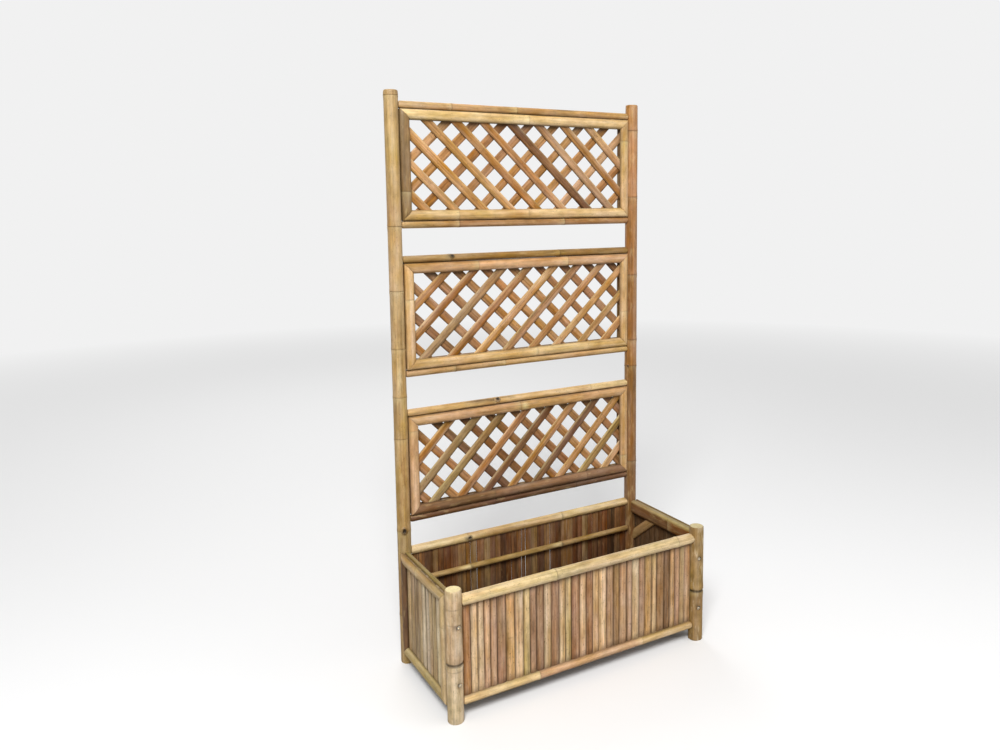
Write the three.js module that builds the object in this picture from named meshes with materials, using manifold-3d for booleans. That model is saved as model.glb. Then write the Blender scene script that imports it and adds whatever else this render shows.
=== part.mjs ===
// Planter with trellis. A slatted bamboo box hangs between two short front posts and two tall back
// posts, and three lattice panels fill the space between the tall posts.
// Millimetres, +Z up. The front faces -Y, and the origin is on the ground under the middle.

import * as THREE from 'three';
import { mergeVertices } from 'three/addons/utils/BufferGeometryUtils.js';
import Module from 'manifold-3d';

const wasm = await Module();
wasm.setup();

// Overall sizes
const overallWidth = 700;
const overallDepth = 316;
const overallHeight = 1350;

// Gap between two pieces that touch
const fit = 0.3;

// Posts
const frontPostDiameter = 38;
const frontPostHeight = 296;
const backPostDiameter = 34;
const postTopRound = 5;
const footChamfer = 2;
const footBoreDiameter = 16;
const footBoreDepth = 26;

// Rails enter the posts with a tenon
const tenonShare = 0.5;
const tenonDepth = 9;

// Trellis panels, with the height of each panel's top above the ground. A lattice's front slats
// lean to the left (-1) or to the right (1), by an angle from level. A phase is where one slat
// of a layer crosses the panel's middle, and the crown is how far the front slats are rounded.
const panels = [
	{
		name: 'upper', top: 1328.5, height: 287,
		lattice: { lean: -1, angle: 43.4, frontPhase: 6.6, backPhase: -9.6, crown: 0 },
	},
	{
		name: 'middle', top: 980.5, height: 284.5,
		lattice: { lean: 1, angle: 43.4, frontPhase: -17.1, backPhase: 3.6, crown: 1.6 },
	},
	{
		name: 'lower', top: 621, height: 275.5,
		lattice: { lean: 1, angle: 45.7, frontPhase: -16.7, backPhase: -5.9, crown: 1.6 },
	},
];
const panelRailDiameter = 19;
const frameWidth = 24;
const frameDepth = 10;
const slatWidth = 20;
const slatPitch = 50.5;
const frontSlatThickness = 5;
const backSlatThickness = 4;
const slatBite = 0.5;
const latticeReach = 15;
const shortestSlat = 75;

// Rails of the box
const frontTopRailDiameter = 28;
const frontTopRailHeight = 267;
const backTopRailDiameter = 23;
const backTopRailHeight = 276;
const backMidRailDiameter = 15;
const backMidRailHeight = 204;
const bottomRailDiameter = 22;
const bottomRailHeight = 41;
const grooveDepth = 7;

// Slatted walls
const wallThickness = 5.5;
const wallCrown = 1.6;
const frontWallSlats = 34;
const backWallSlats = 38;
const sideWallSlats = 12;

// Side panels of the box
const sideTop = 281;
const sideBottom = 29;
const sideFrameWidth = 26;
const sideFrameDepth = 8;
const sideReach = 18;
const sideSlatDrop = 3;
const innerTopWidth = 36;
const innerTopDepth = 13;
const ledgeWidth = 20;
const ledgeDepth = 12;
const braceWidth = 25;
const braceThickness = 8;
const braceFoot = 184;
const braceAngle = 38;
const battenWidth = 20;
const battenDepth = 18;

// Floor
const floorThickness = 6;
const floorCrown = 1.2;
const floorSlats = 34;
const bearerDiameter = 18;

// Screws through the front posts into the side panels
const screwHeights = { upper: 216, lower: 87 };
const screwHeadDiameter = 8;
const screwHeadHeight = 3;
const screwShankDiameter = 3.6;
const screwSink = 1.5;
const screwGrip = 14;

// Facets
const postSides = 24;
const poleSides = 16;
const tenonSides = 8;
const halfRoundSteps = 6;

// Places that follow from the sizes above
const postX = (overallWidth - frontPostDiameter) / 2;
const frontY = (frontPostDiameter - overallDepth) / 2;
const backY = (overallDepth - backPostDiameter) / 2;
const wallHalf = wallThickness / 2;
const latticeHalf = (frontSlatThickness + backSlatThickness - slatBite) / 2;
const sideWallX = overallWidth / 2 - sideFrameDepth - fit - wallHalf;
const postOffset = sideWallX - postX;
const floorBottom = bottomRailHeight + surfaceAt(bottomRailDiameter, wallHalf + fit) + fit;
const floorTop = floorBottom + floorThickness;
const screwX = sideWallX - wallHalf - fit - battenDepth / 2;
const screwHeadTop = frontY - surfaceAt(frontPostDiameter, screwX - postX) + screwSink;
const sides = [['left', -1], ['right', 1]];

const colours = {
	paleCulm: 0xcdbc96,
	culm: 0xc6a67a,
	oliveCulm: 0xc4b074,
	frame: 0xc49c6e,
	lattice: 0xb5834f,
	wall: 0xab8a66,
	innerWall: 0x6b523b,
	steel: 0x55504a,
};

const planter = new THREE.Group();

function addPiece(name, solid, colour, parent = planter, metalness = 0) {
	const material = new THREE.MeshStandardMaterial({ color: colour, roughness: 0.6, metalness });
	const mesh = new THREE.Mesh(toGeometry(solid), material);
	mesh.name = name;
	parent.add(mesh);
	return mesh;
}

// Solids

function toSolid(geometry) {
	geometry.deleteAttribute('normal');
	geometry.deleteAttribute('uv');
	const merged = mergeVertices(geometry);
	return new wasm.Manifold(new wasm.Mesh({
		numProp: 3,
		vertProperties: new Float32Array(merged.attributes.position.array),
		triVerts: new Uint32Array(merged.index.array),
	}));
}

function toGeometry(solid) {
	const { vertProperties, triVerts } = solid.getMesh();
	const geometry = new THREE.BufferGeometry();
	geometry.setAttribute('position', new THREE.BufferAttribute(vertProperties, 3));
	geometry.setIndex(new THREE.BufferAttribute(triVerts, 1));
	geometry.computeVertexNormals();
	return geometry;
}

function box(size, at) {
	return toSolid(new THREE.BoxGeometry(...size).translate(...at));
}

// A round pole along the given axis, with its middle at the given point.
function pole(diameter, length, axis, sides, at = [0, 0, 0]) {
	const geometry = new THREE.CylinderGeometry(diameter / 2, diameter / 2, length, sides);
	if (axis === 'x') geometry.rotateZ(Math.PI / 2);
	if (axis === 'z') geometry.rotateX(Math.PI / 2);
	return toSolid(geometry.translate(...at));
}

// An outline in plan, raised from z = 0.
function raise(points, height) {
	const shape = new THREE.Shape(points.map(([x, y]) => new THREE.Vector2(x, y)));
	return new THREE.ExtrudeGeometry(shape, { depth: height, bevelEnabled: false });
}

// Distance from the middle of a round piece to its surface, measured beside its axis.
function surfaceAt(diameter, offset) {
	return Math.sqrt((diameter / 2) ** 2 - offset ** 2);
}

// Posts

function postProfile(diameter, height) {
	const radius = diameter / 2;
	const profile = [
		new THREE.Vector2(0, footBoreDepth),
		new THREE.Vector2(footBoreDiameter / 2, footBoreDepth),
		new THREE.Vector2(footBoreDiameter / 2, 0),
		new THREE.Vector2(radius - footChamfer, 0),
		new THREE.Vector2(radius, footChamfer),
	];
	const steps = 3;
	for (let i = 0; i <= steps; i++) {
		const turn = (i / steps) * Math.PI / 2;
		const inward = postTopRound * (1 - Math.cos(turn));
		const down = postTopRound * (1 - Math.sin(turn));
		profile.push(new THREE.Vector2(radius - inward, height - down));
	}
	profile.push(new THREE.Vector2(0, height));
	return profile;
}

// The blind hole for a rail's tenon, on the side of the post that faces the middle.
function tenonHole(postDiameter, side, railDiameter, height) {
	const reach = tenonDepth + fit;
	const x = -side * (postDiameter / 2 - reach / 2 + fit);
	return pole(railDiameter * tenonShare + 2 * fit, reach + 2 * fit, 'x', tenonSides, [x, 0, height]);
}

// The hole of a countersunk screw that goes in from the front.
function screwHole(side, height) {
	const x = side * (screwX - postX);
	const shank = pole(screwShankDiameter + 2 * fit, 2 * frontPostDiameter, 'y', tenonSides, [x, 0, height]);
	const bottom = screwHeadTop + screwHeadHeight + fit - frontY;
	const head = pole(
		screwHeadDiameter + 2 * fit, frontPostDiameter, 'y', tenonSides,
		[x, bottom - frontPostDiameter / 2, height],
	);
	return shank.add(head);
}

function addPost(name, side, y, diameter, height, holes) {
	const lathe = new THREE.LatheGeometry(postProfile(diameter, height), postSides);
	let solid = toSolid(lathe.rotateX(Math.PI / 2));
	for (const hole of holes) solid = solid.subtract(hole);
	addPiece(name, solid, colours.paleCulm).position.set(side * postX, y, 0);
}

function frontPostHoles(side) {
	return [
		tenonHole(frontPostDiameter, side, frontTopRailDiameter, frontTopRailHeight),
		tenonHole(frontPostDiameter, side, bottomRailDiameter, bottomRailHeight),
		...Object.values(screwHeights).map((height) => screwHole(side, height)),
	];
}

function backPostHoles(side) {
	const holes = [
		tenonHole(backPostDiameter, side, backTopRailDiameter, backTopRailHeight),
		tenonHole(backPostDiameter, side, bottomRailDiameter, bottomRailHeight),
	];
	for (const { top, height } of panels) {
		for (const z of [top - panelRailDiameter / 2, top - height + panelRailDiameter / 2]) {
			holes.push(tenonHole(backPostDiameter, side, panelRailDiameter, z));
		}
	}
	return holes;
}

for (const [end, side] of sides) {
	addPost(`front_${end}_post`, side, frontY, frontPostDiameter, frontPostHeight, frontPostHoles(side));
	addPost(`back_${end}_post`, side, backY, backPostDiameter, overallHeight, backPostHoles(side));
}

// Rails

function postCutter(diameter, height, at) {
	return pole(diameter + 2 * fit, height, 'z', postSides, at);
}

// A rail along X between two posts, coped round them, with a tenon into each.
function crossRail(railDiameter, postDiameter) {
	let rail = pole(railDiameter, 2 * postX, 'x', poleSides);
	for (const side of [-1, 1]) {
		rail = rail.subtract(postCutter(postDiameter, 2 * railDiameter, [side * postX, 0, 0]));
	}
	const tenonEnd = postX - postDiameter / 2 + tenonDepth;
	return rail.add(pole(railDiameter * tenonShare, 2 * tenonEnd, 'x', tenonSides));
}

// The same rail with a groove along its lower (-1) or upper (1) side for a wall's slats.
function groovedRail(railDiameter, postDiameter, side) {
	const length = wallWidth(postDiameter) + 2 * fit;
	const middle = side * (railDiameter - grooveDepth - fit);
	const groove = box([length, wallThickness + 2 * fit, railDiameter], [0, 0, middle]);
	return crossRail(railDiameter, postDiameter).subtract(groove);
}

// Front and back walls

// Width that a wall's slats have between two posts.
function wallWidth(postDiameter) {
	return 2 * (postX - postDiameter / 2 - fit);
}

// Slats side by side in one sheet, each rounded towards -Y. It stands on z = 0.
function slatSheet(width, height, slats, thickness, crown) {
	const slat = width / slats;
	const points = [[width / 2, thickness / 2], [-width / 2, thickness / 2]];
	for (let i = 0; i < slats; i++) {
		const left = i * slat - width / 2;
		points.push([left, crown - thickness / 2]);
		points.push([left + slat * 0.3, -thickness / 2]);
		points.push([left + slat * 0.7, -thickness / 2]);
	}
	points.push([width / 2, crown - thickness / 2]);
	return raise(points, height);
}

function addWall(name, y, turn, postDiameter, topDiameter, topHeight, slats, colour) {
	const topRail = groovedRail(topDiameter, postDiameter, -1);
	addPiece(`${name}_top_rail`, topRail, colours.oliveCulm).position.set(0, y, topHeight);
	const bottomRail = groovedRail(bottomRailDiameter, postDiameter, 1);
	addPiece(`${name}_bottom_rail`, bottomRail, colours.culm).position.set(0, y, bottomRailHeight);

	const bottom = bottomRailHeight + bottomRailDiameter / 2 - grooveDepth;
	const top = topHeight - topDiameter / 2 + grooveDepth;
	const sheet = slatSheet(wallWidth(postDiameter), top - bottom, slats, wallThickness, wallCrown);
	const wall = addPiece(`${name}_wall_slats`, toSolid(sheet), colour);
	wall.position.set(0, y, bottom);
	wall.rotation.z = turn;
}

addWall('front', frontY, 0, frontPostDiameter,
	frontTopRailDiameter, frontTopRailHeight, frontWallSlats, colours.wall);
addWall('back', backY, Math.PI, backPostDiameter,
	backTopRailDiameter, backTopRailHeight, backWallSlats, colours.innerWall);

// The middle rail lies along the inside of the back slats, square-cut between the posts.
const midRailLength = 2 * (postX - surfaceAt(backPostDiameter, wallHalf + fit) - fit);
addPiece('back_mid_rail', pole(backMidRailDiameter, midRailLength, 'x', poleSides), colours.oliveCulm)
	.position.set(0, backY - wallHalf - fit - backMidRailDiameter / 2, backMidRailHeight);

// Framed panels

// A half-round strip along X. Its outer edge is the X axis, it hangs down to -width, and its
// flat back lies on y = 0.
function halfRound(length, width, depth) {
	const outline = [];
	for (let i = 0; i <= halfRoundSteps; i++) {
		const turn = (i / halfRoundSteps) * Math.PI;
		outline.push([width / 2 * (1 - Math.cos(turn)), -depth * Math.sin(turn)]);
	}
	return raise(outline, length).translate(0, 0, -length / 2).rotateY(Math.PI / 2);
}

// Cuts both ends of a half-round strip back at 45 degrees from its outer edge.
function mitre(geometry, length, gap) {
	const position = geometry.attributes.position;
	for (let i = 0; i < position.count; i++) {
		const end = length / 2 + position.getZ(i) - gap * Math.SQRT1_2;
		position.setX(i, Math.sign(position.getX(i)) * end);
	}
	return geometry;
}

// The four members round a panel's middle, each with its turn about Y and its distance out.
function frameMembers(width, height, memberWidth, depth, gap) {
	const member = (length) => mitre(halfRound(length, memberWidth, depth), length, gap);
	return {
		top: { turn: 0, out: height / 2, strip: member(width) },
		right: { turn: Math.PI / 2, out: width / 2, strip: member(height) },
		bottom: { turn: Math.PI, out: height / 2, strip: member(width) },
		left: { turn: -Math.PI / 2, out: width / 2, strip: member(height) },
	};
}

function addFrame(group, names, width, height, memberWidth, depth, y) {
	const members = frameMembers(width, height, memberWidth, depth, fit);
	for (const [place, { turn, out, strip }] of Object.entries(members)) {
		const mesh = addPiece(names[place], toSolid(strip), colours.frame, group);
		mesh.rotation.y = turn;
		mesh.position.set(out * Math.sin(turn), y, out * Math.cos(turn));
	}
}

// The same four members glued at their mitres.
function joinedFrame(width, height, memberWidth, depth) {
	return Object.values(frameMembers(width, height, memberWidth, depth, 0))
		.map(({ turn, out, strip }) => toSolid(strip.translate(0, 0, out).rotateY(turn)))
		.reduce((joined, member) => joined.add(member));
}

// Trellis

// Length of a slat's centre line inside the panel, where it crosses the middle at x.
function slatLength(x, tilt, width, height) {
	const run = height / 2 / Math.tan(Math.abs(tilt));
	const left = Math.max(x - run, -width / 2);
	const right = Math.min(x + run, width / 2);
	return Math.max(0, right - left) / Math.cos(tilt);
}

function slatSection(thickness, crown) {
	const half = slatWidth / 2;
	const flat = [[half, 0], [-half, 0], [-half, crown - thickness]];
	const round = crown > 0 ? [[-half / 2, -thickness], [half / 2, -thickness]] : [];
	return [...flat, ...round, [half, crown - thickness]];
}

// One layer of parallel slats at the given angle, from y = 0 towards -Y.
function slatLayer(width, height, angle, phase, thickness, crown) {
	const tilt = THREE.MathUtils.degToRad(angle);
	const step = slatPitch / Math.abs(Math.sin(tilt));
	const span = Math.hypot(width, height);
	const slats = [];
	for (let x = phase - Math.ceil(span / step) * step; x < span; x += step) {
		if (slatLength(x, tilt, width, height) < shortestSlat) continue;
		const slat = raise(slatSection(thickness, crown), 2 * span).translate(0, 0, -span);
		slats.push(toSolid(slat.rotateY(Math.PI / 2 - tilt).translate(x, 0, 0)));
	}
	return slats.reduce((layer, slat) => layer.add(slat));
}

function latticeSolid(width, height, { lean, angle, frontPhase, backPhase, crown }) {
	const front = slatLayer(width, height, lean * angle, frontPhase, frontSlatThickness, crown)
		.translate([0, frontSlatThickness - latticeHalf, 0]);
	const back = slatLayer(width, height, -lean * angle, backPhase, backSlatThickness, 0)
		.translate([0, latticeHalf, 0]);
	return front.add(back).intersect(box([width, 4 * latticeHalf, height], [0, 0, 0]));
}

function addTrellisPanel({ name, top, height, lattice }) {
	const group = new THREE.Group();
	group.position.set(0, backY, top - height / 2);
	planter.add(group);

	const railZ = (height - panelRailDiameter) / 2;
	for (const [end, z] of [['top', railZ], ['bottom', -railZ]]) {
		const rail = crossRail(panelRailDiameter, backPostDiameter);
		addPiece(`${name}_${end}_rail`, rail, colours.culm, group).position.z = z;
	}

	const back = latticeHalf + fit;
	const width = 2 * (postX - surfaceAt(backPostDiameter, back) - fit);
	const frameHeight = 2 * (railZ - surfaceAt(panelRailDiameter, back) - fit);
	const names = Object.fromEntries(
		['top', 'right', 'bottom', 'left'].map((place) => [place, `${name}_frame_${place}`]),
	);
	addFrame(group, names, width, frameHeight, frameWidth, frameDepth, -back);
	const rear = joinedFrame(width, frameHeight, frameWidth, frameDepth);
	const rearMesh = addPiece(`${name}_rear_frame`, rear, colours.frame, group);
	rearMesh.position.y = back;
	rearMesh.rotation.z = Math.PI;

	const inset = 2 * (frameWidth - latticeReach);
	const slats = latticeSolid(width - inset, frameHeight - inset, lattice);
	addPiece(`${name}_lattice`, slats, colours.lattice, group);
}

panels.forEach(addTrellisPanel);

// Side panels of the box. In each group -Y faces out, z is the height above the ground, and
// the place y of the whole planter lies at x = side * y.

function addSideFrame(name, side, group) {
	const offset = postOffset + wallHalf + fit;
	const front = frontY + surfaceAt(frontPostDiameter, offset) + fit;
	const back = backY - surfaceAt(backPostDiameter, offset) - fit;
	const frame = new THREE.Group();
	frame.position.set(side * (front + back) / 2, 0, (sideTop + sideBottom) / 2);
	group.add(frame);
	const names = {
		top: `${name}_frame_top`,
		bottom: `${name}_frame_bottom`,
		right: side > 0 ? `${name}_frame_back` : `${name}_frame_front`,
		left: side > 0 ? `${name}_frame_front` : `${name}_frame_back`,
	};
	addFrame(frame, names, back - front, sideTop - sideBottom, sideFrameWidth, sideFrameDepth, -wallHalf - fit);
}

function addSideSlats(name, side, group) {
	const offset = postOffset - wallHalf;
	const front = frontY + surfaceAt(frontPostDiameter, offset) + fit;
	const back = backY - surfaceAt(backPostDiameter, offset) - fit;
	const bottom = sideBottom + sideFrameWidth - sideReach;
	const height = sideTop - sideSlatDrop - bottom;
	const sheet = slatSheet(back - front, height, sideWallSlats, wallThickness, wallCrown);
	addPiece(`${name}_wall_slats`, toSolid(sheet), colours.wall, group)
		.position.set(side * (front + back) / 2, 0, bottom);
}

// Cuts both posts out of a piece whose y = 0 lies on the inside of the side slats.
function copeToPosts(solid, side, height) {
	const y = postOffset - wallHalf - fit;
	return solid
		.subtract(postCutter(frontPostDiameter, height, [side * frontY, y, 0]))
		.subtract(postCutter(backPostDiameter, height, [side * backY, y, 0]));
}

// A half-round strip from post to post on the inside of the slats, with its top edge at z = 0.
function innerStrip(side, width, depth) {
	const strip = halfRound(backY - frontY, width, depth).rotateZ(Math.PI);
	return copeToPosts(toSolid(strip.translate(side * (frontY + backY) / 2, 0, 0)), side, 4 * width);
}

// A flat diagonal from the inner top strip down to the back post.
function braceSolid(side) {
	const lean = THREE.MathUtils.degToRad(braceAngle);
	const top = sideTop - innerTopWidth - fit;
	const low = braceFoot - braceWidth / 2 / Math.cos(lean);
	const high = braceFoot + braceWidth / 2 / Math.cos(lean);
	const footY = backY - backPostDiameter / 2;
	const outline = [
		[side * backY, low],
		[side * backY, high],
		[side * footY, high],
		[side * (footY - (top - high) / Math.tan(lean)), top],
		[side * (footY - (top - low) / Math.tan(lean)), top],
		[side * footY, low],
	];
	const brace = raise(outline, braceThickness).rotateX(Math.PI / 2).translate(0, braceThickness, 0);
	return copeToPosts(toSolid(brace), side, 4 * sideTop);
}

// An upright behind the front post that takes the screws.
function battenSolid(side) {
	const middle = side * (frontY + (frontPostDiameter + battenWidth) / 2 + fit);
	const bottom = floorTop + fit;
	const top = sideTop - innerTopWidth - fit;
	let batten = box([battenWidth, battenDepth, top - bottom], [middle, battenDepth / 2, (top + bottom) / 2]);
	const holeDepth = screwGrip + 2 * fit;
	const holeX = side * (frontY + frontPostDiameter / 2 + holeDepth / 2);
	for (const height of Object.values(screwHeights)) {
		const at = [holeX, battenDepth / 2, height];
		batten = batten.subtract(pole(screwShankDiameter + 2 * fit, holeDepth, 'x', tenonSides, at));
	}
	return batten;
}

function addSidePanel(name, side) {
	const group = new THREE.Group();
	group.position.x = side * sideWallX;
	group.rotation.z = side * Math.PI / 2;
	planter.add(group);
	addSideFrame(name, side, group);
	addSideSlats(name, side, group);

	const inside = new THREE.Group();
	inside.position.y = wallHalf + fit;
	group.add(inside);
	addPiece(`${name}_inner_top`, innerStrip(side, innerTopWidth, innerTopDepth), colours.frame, inside)
		.position.z = sideTop;
	addPiece(`${name}_floor_ledge`, innerStrip(side, ledgeWidth, ledgeDepth), colours.culm, inside)
		.position.z = floorBottom - fit;
	addPiece(`${name}_brace`, braceSolid(side), colours.frame, inside);
	addPiece(`${name}_screw_batten`, battenSolid(side), colours.frame, inside);
}

for (const [name, side] of sides) addSidePanel(name, side);

// Floor

function addFloor() {
	const width = 2 * (sideWallX - wallHalf - fit);
	const front = frontY + wallHalf + fit;
	const back = backY - wallHalf - fit;
	const sheet = slatSheet(width, back - front, floorSlats, floorThickness, floorCrown);
	let floor = toSolid(sheet.rotateX(Math.PI / 2).translate(0, back, 0));
	for (const [, side] of sides) {
		const cut = 4 * floorThickness;
		floor = floor.subtract(postCutter(frontPostDiameter, cut, [side * postX, frontY, 0]));
		floor = floor.subtract(postCutter(backPostDiameter, cut, [side * postX, backY, 0]));
	}
	addPiece('floor_slats', floor, colours.innerWall).position.z = floorBottom + floorThickness / 2;
}

addFloor();

const bearerHalfLength = sideWallX - wallHalf - fit - ledgeDepth - fit;
addPiece('floor_bearer', pole(bearerDiameter, 2 * bearerHalfLength, 'x', poleSides), colours.culm)
	.position.z = floorBottom - fit - bearerDiameter / 2;

// Screws

function screwSolid() {
	const length = frontY + frontPostDiameter / 2 + fit + screwGrip - screwHeadTop;
	const headRadius = screwHeadDiameter / 2;
	const shankRadius = screwShankDiameter / 2;
	const profile = [
		new THREE.Vector2(0, 0),
		new THREE.Vector2(headRadius, 0),
		new THREE.Vector2(headRadius, screwHeadHeight / 4),
		new THREE.Vector2(shankRadius, screwHeadHeight),
		new THREE.Vector2(shankRadius, length - 2 * screwShankDiameter),
		new THREE.Vector2(0, length),
	];
	return toSolid(new THREE.LatheGeometry(profile, tenonSides));
}

for (const [name, side] of sides) {
	for (const [level, height] of Object.entries(screwHeights)) {
		addPiece(`${name}_${level}_screw`, screwSolid(), colours.steel, planter, 0.8)
			.position.set(side * screwX, screwHeadTop, height);
	}
}

export default planter;
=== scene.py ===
import random
from bisect import bisect
from math import cos, hypot, pi, radians, sin, sqrt, tan

import bmesh
import bpy
from mathutils import Matrix, Vector, noise


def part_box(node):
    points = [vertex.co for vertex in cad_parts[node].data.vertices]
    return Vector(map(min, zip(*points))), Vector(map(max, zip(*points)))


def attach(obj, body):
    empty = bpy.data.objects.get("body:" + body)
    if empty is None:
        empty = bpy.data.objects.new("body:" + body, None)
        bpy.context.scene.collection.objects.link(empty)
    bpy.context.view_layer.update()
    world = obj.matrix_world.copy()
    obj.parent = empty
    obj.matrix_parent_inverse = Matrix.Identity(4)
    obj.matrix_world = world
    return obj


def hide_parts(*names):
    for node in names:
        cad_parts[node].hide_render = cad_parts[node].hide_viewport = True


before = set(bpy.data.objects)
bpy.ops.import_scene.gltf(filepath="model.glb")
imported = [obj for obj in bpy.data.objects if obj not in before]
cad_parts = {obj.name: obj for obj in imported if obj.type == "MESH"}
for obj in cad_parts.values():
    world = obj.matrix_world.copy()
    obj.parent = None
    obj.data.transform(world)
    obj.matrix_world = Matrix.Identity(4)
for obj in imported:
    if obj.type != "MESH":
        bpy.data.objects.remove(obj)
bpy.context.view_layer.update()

mm = 0.001
right, away, up = Vector((1, 0, 0)), Vector((0, 1, 0)), Vector((0, 0, 1))
front, left = -away, -right
sides = {"left": left, "right": right}


# Tones of weathered bamboo, as a screen shows them
tones = {
    "ivory": (255, 240, 186),
    "cream": (236, 218, 164),
    "pale": (228, 208, 174),
    "straw": (214, 186, 130),
    "sand": (200, 172, 132),
    "pinkSand": (204, 162, 122),
    "shell": (222, 188, 144),
    "honey": (198, 160, 107),
    "caramel": (188, 142, 90),
    "toast": (174, 126, 78),
    "dusk": (182, 144, 112),
    "chestnut": (148, 102, 62),
    "cocoa": (112, 76, 48),
    "peach": (210, 168, 120),
    "tan": (178, 141, 92),
    "russet": (160, 113, 74),
    "rust": (144, 90, 50),
    "olive": (166, 144, 90),
    "darkOlive": (138, 112, 62),
    "khaki": (152, 130, 84),
    "greyOlive": (132, 122, 88),
    "greyTan": (160, 136, 102),
    "mauve": (148, 114, 86),
    "umber": (118, 86, 54),
    "bark": (80, 56, 36),
    "soot": (32, 22, 14),
}


def toLinear(share):
    return share / 12.92 if share <= 0.04045 else ((share + 0.055) / 1.055) ** 2.4


def tone(name):
    return Vector([toLinear(c / 255) for c in tones[name]])


def fade(distance, reach):      # 1 at no distance, 0 past the reach
    share = max(0, 1 - abs(distance) / reach)
    return share * share * (3 - 2 * share)


def turned(angle):              # the way out of a piece's skin, from its front round to its side
    return Vector((0, sin(radians(angle)), cos(radians(angle))))


def stepped(points, x):         # a height read off a bent line
    if x <= points[0][0]:
        return points[0][1]
    for (a, low), (b, high) in zip(points, points[1:]):
        if x <= b:
            return low + (high - low) * (x - a) / (b - a)
    return points[-1][1]


# Finishes

class Tree:                     # short ways to add and join the nodes of a material or a world
    def __init__(self, owner):
        owner.use_nodes = True
        self.owner = owner
        self.nodes = owner.node_tree.nodes
        self.links = owner.node_tree.links
        self.shader = self.nodes.get("Principled BSDF")

    def fill(self, socket, value):
        if isinstance(value, bpy.types.NodeSocket):
            self.links.new(value, socket)
        else:
            socket.default_value = value

    def add(self, kind, inputs=None, **settings):
        node = self.nodes.new("ShaderNode" + kind)
        for key, value in settings.items():
            setattr(node, key, value)
        for key, value in (inputs or {}).items():
            self.fill(node.inputs[key], value)
        return node

    def math(self, operation, a, b):
        return self.add("Math", {0: a, 1: b}, operation=operation).outputs[0]

    def attribute(self, name, output):
        return self.add("Attribute", attribute_name=name).outputs[output]

    def noise(self, place, scale, detail=3, low=0.32, high=0.68):
        mapped = self.add("Mapping", {"Vector": place, "Scale": scale}).outputs[0]
        made = self.add("TexNoise", {"Vector": mapped, "Scale": 1, "Detail": detail, "Roughness": 0.55})
        return self.ranged(made.outputs["Fac"], low, high)

    def ranged(self, value, low, high):     # 0 at low, 1 at high
        inputs = {"Value": value, "From Min": low, "From Max": high, "To Min": 0, "To Max": 1}
        return self.add("MapRange", inputs, clamp=True).outputs[0]

    def sum(self, *terms):      # each term is (value, share), around a middle of nothing
        total = None
        for value, share in terms:
            scaled = self.math("MULTIPLY", self.math("SUBTRACT", value, 0.5), share)
            total = scaled if total is None else self.math("ADD", total, scaled)
        return total

    def mix(self, share, a, b):
        return self.add("Mix", {0: share, 6: a, 7: b}, data_type="RGBA").outputs[2]

    def tint(self, share, base, name):      # lays a tone over what is there
        return self.mix(share, base, solid(name))

    def seen(self, rays):       # 1 where the camera or a mirror looks straight at it
        return self.math("MAXIMUM", rays["Is Camera Ray"], rays["Is Glossy Ray"])

    def finish(self, colour, roughness, height, lift, strength):
        bump = self.add("Bump", {"Height": height, "Distance": lift, "Strength": strength})
        self.links.new(colour, self.shader.inputs["Base Color"])
        self.links.new(roughness, self.shader.inputs["Roughness"])
        self.links.new(bump.outputs[0], self.shader.inputs["Normal"])
        return self.owner


def solid(name):
    return (*tone(name), 1)


def bambooFinish(name, look):
    tree = Tree(bpy.data.materials.new(name))
    grain = tree.attribute("grain", "Vector")
    base = tree.attribute("tone", "Color")
    mark = tree.attribute("mark", "Fac")
    streak = tree.noise(grain, (5, 210, 210), 4)
    band = tree.noise(grain, (2.2, 75, 75), 2)
    fibre = tree.noise(grain, (22, 1300, 1300), 2)
    blotch = tree.noise(grain, (16, 42, 42), 4)
    cloud = tree.noise(grain, (6, 14, 14), 3)
    mottle = tree.noise(grain, look["mottleScale"], 5)
    parts = {"streak": streak, "band": band, "fibre": fibre, "blotch": blotch, "mottle": mottle}
    value = tree.sum(*[(part, look[key]) for key, part in parts.items()])
    warmth = tree.sum((blotch, look["warmth"]), (band, look["warmth"]))
    hue = tree.sum((cloud, look["hue"]))
    toned = tree.add("HueSaturation", {
        "Color": base, "Value": tree.math("ADD", 1, value), "Saturation": tree.math("ADD", 1, warmth),
        "Hue": tree.math("ADD", 0.5, hue),
    }).outputs[0]
    weather = tree.noise(grain, (9, 28, 28), 5, 0.5, 0.72)
    toned = tree.tint(tree.math("MULTIPLY", weather, look["weather"]), toned, look["weatherTone"])
    worn = tree.noise(grain, (30, 120, 120), 3, 0.56, 0.7)
    toned = tree.tint(tree.math("MULTIPLY", worn, look["worn"]), toned, look["wornTone"])
    speck = tree.noise(grain, (230, 520, 520), 1, 0.66, 0.74)
    toned = tree.tint(tree.math("MULTIPLY", speck, look["speck"]), toned, "bark")
    # dark marks and painted shade, carried in one attribute, tint the colour towards near black
    toned = tree.tint(mark, toned, "soot")
    rough = tree.math("ADD", look["roughness"], tree.sum((streak, 0.16), (weather, 0.14)))
    height = tree.math("ADD", 0.5, tree.sum((fibre, 0.5), (streak, 0.8), (speck, -0.5)))
    tree.shader.inputs["Specular IOR Level"].default_value = look["shine"]
    return tree.finish(toned, rough, height, look["lift"] * mm, look["bump"])


def endFinish(name):            # a culm's cut end, with its bundles of fibres as dots
    tree = Tree(bpy.data.materials.new(name))
    grain = tree.attribute("grain", "Vector")
    mark = tree.attribute("mark", "Fac")
    dots = tree.noise(grain, (900, 900, 900), 2, 0.5, 0.66)
    cloud = tree.noise(grain, (90, 90, 90), 3)
    toned = tree.mix(cloud, solid("ivory"), solid("cream"))
    toned = tree.mix(0.14, toned, tree.attribute("tone", "Color"))
    toned = tree.tint(tree.math("MULTIPLY", dots, 0.35), toned, "tan")
    # dark marks and painted shade tint the cut end towards near black
    toned = tree.tint(mark, toned, "soot")
    rough = tree.math("ADD", 0.72, tree.sum((cloud, 0.15)))
    return tree.finish(toned, rough, dots, 0.3 * mm, 0.5)


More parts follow.
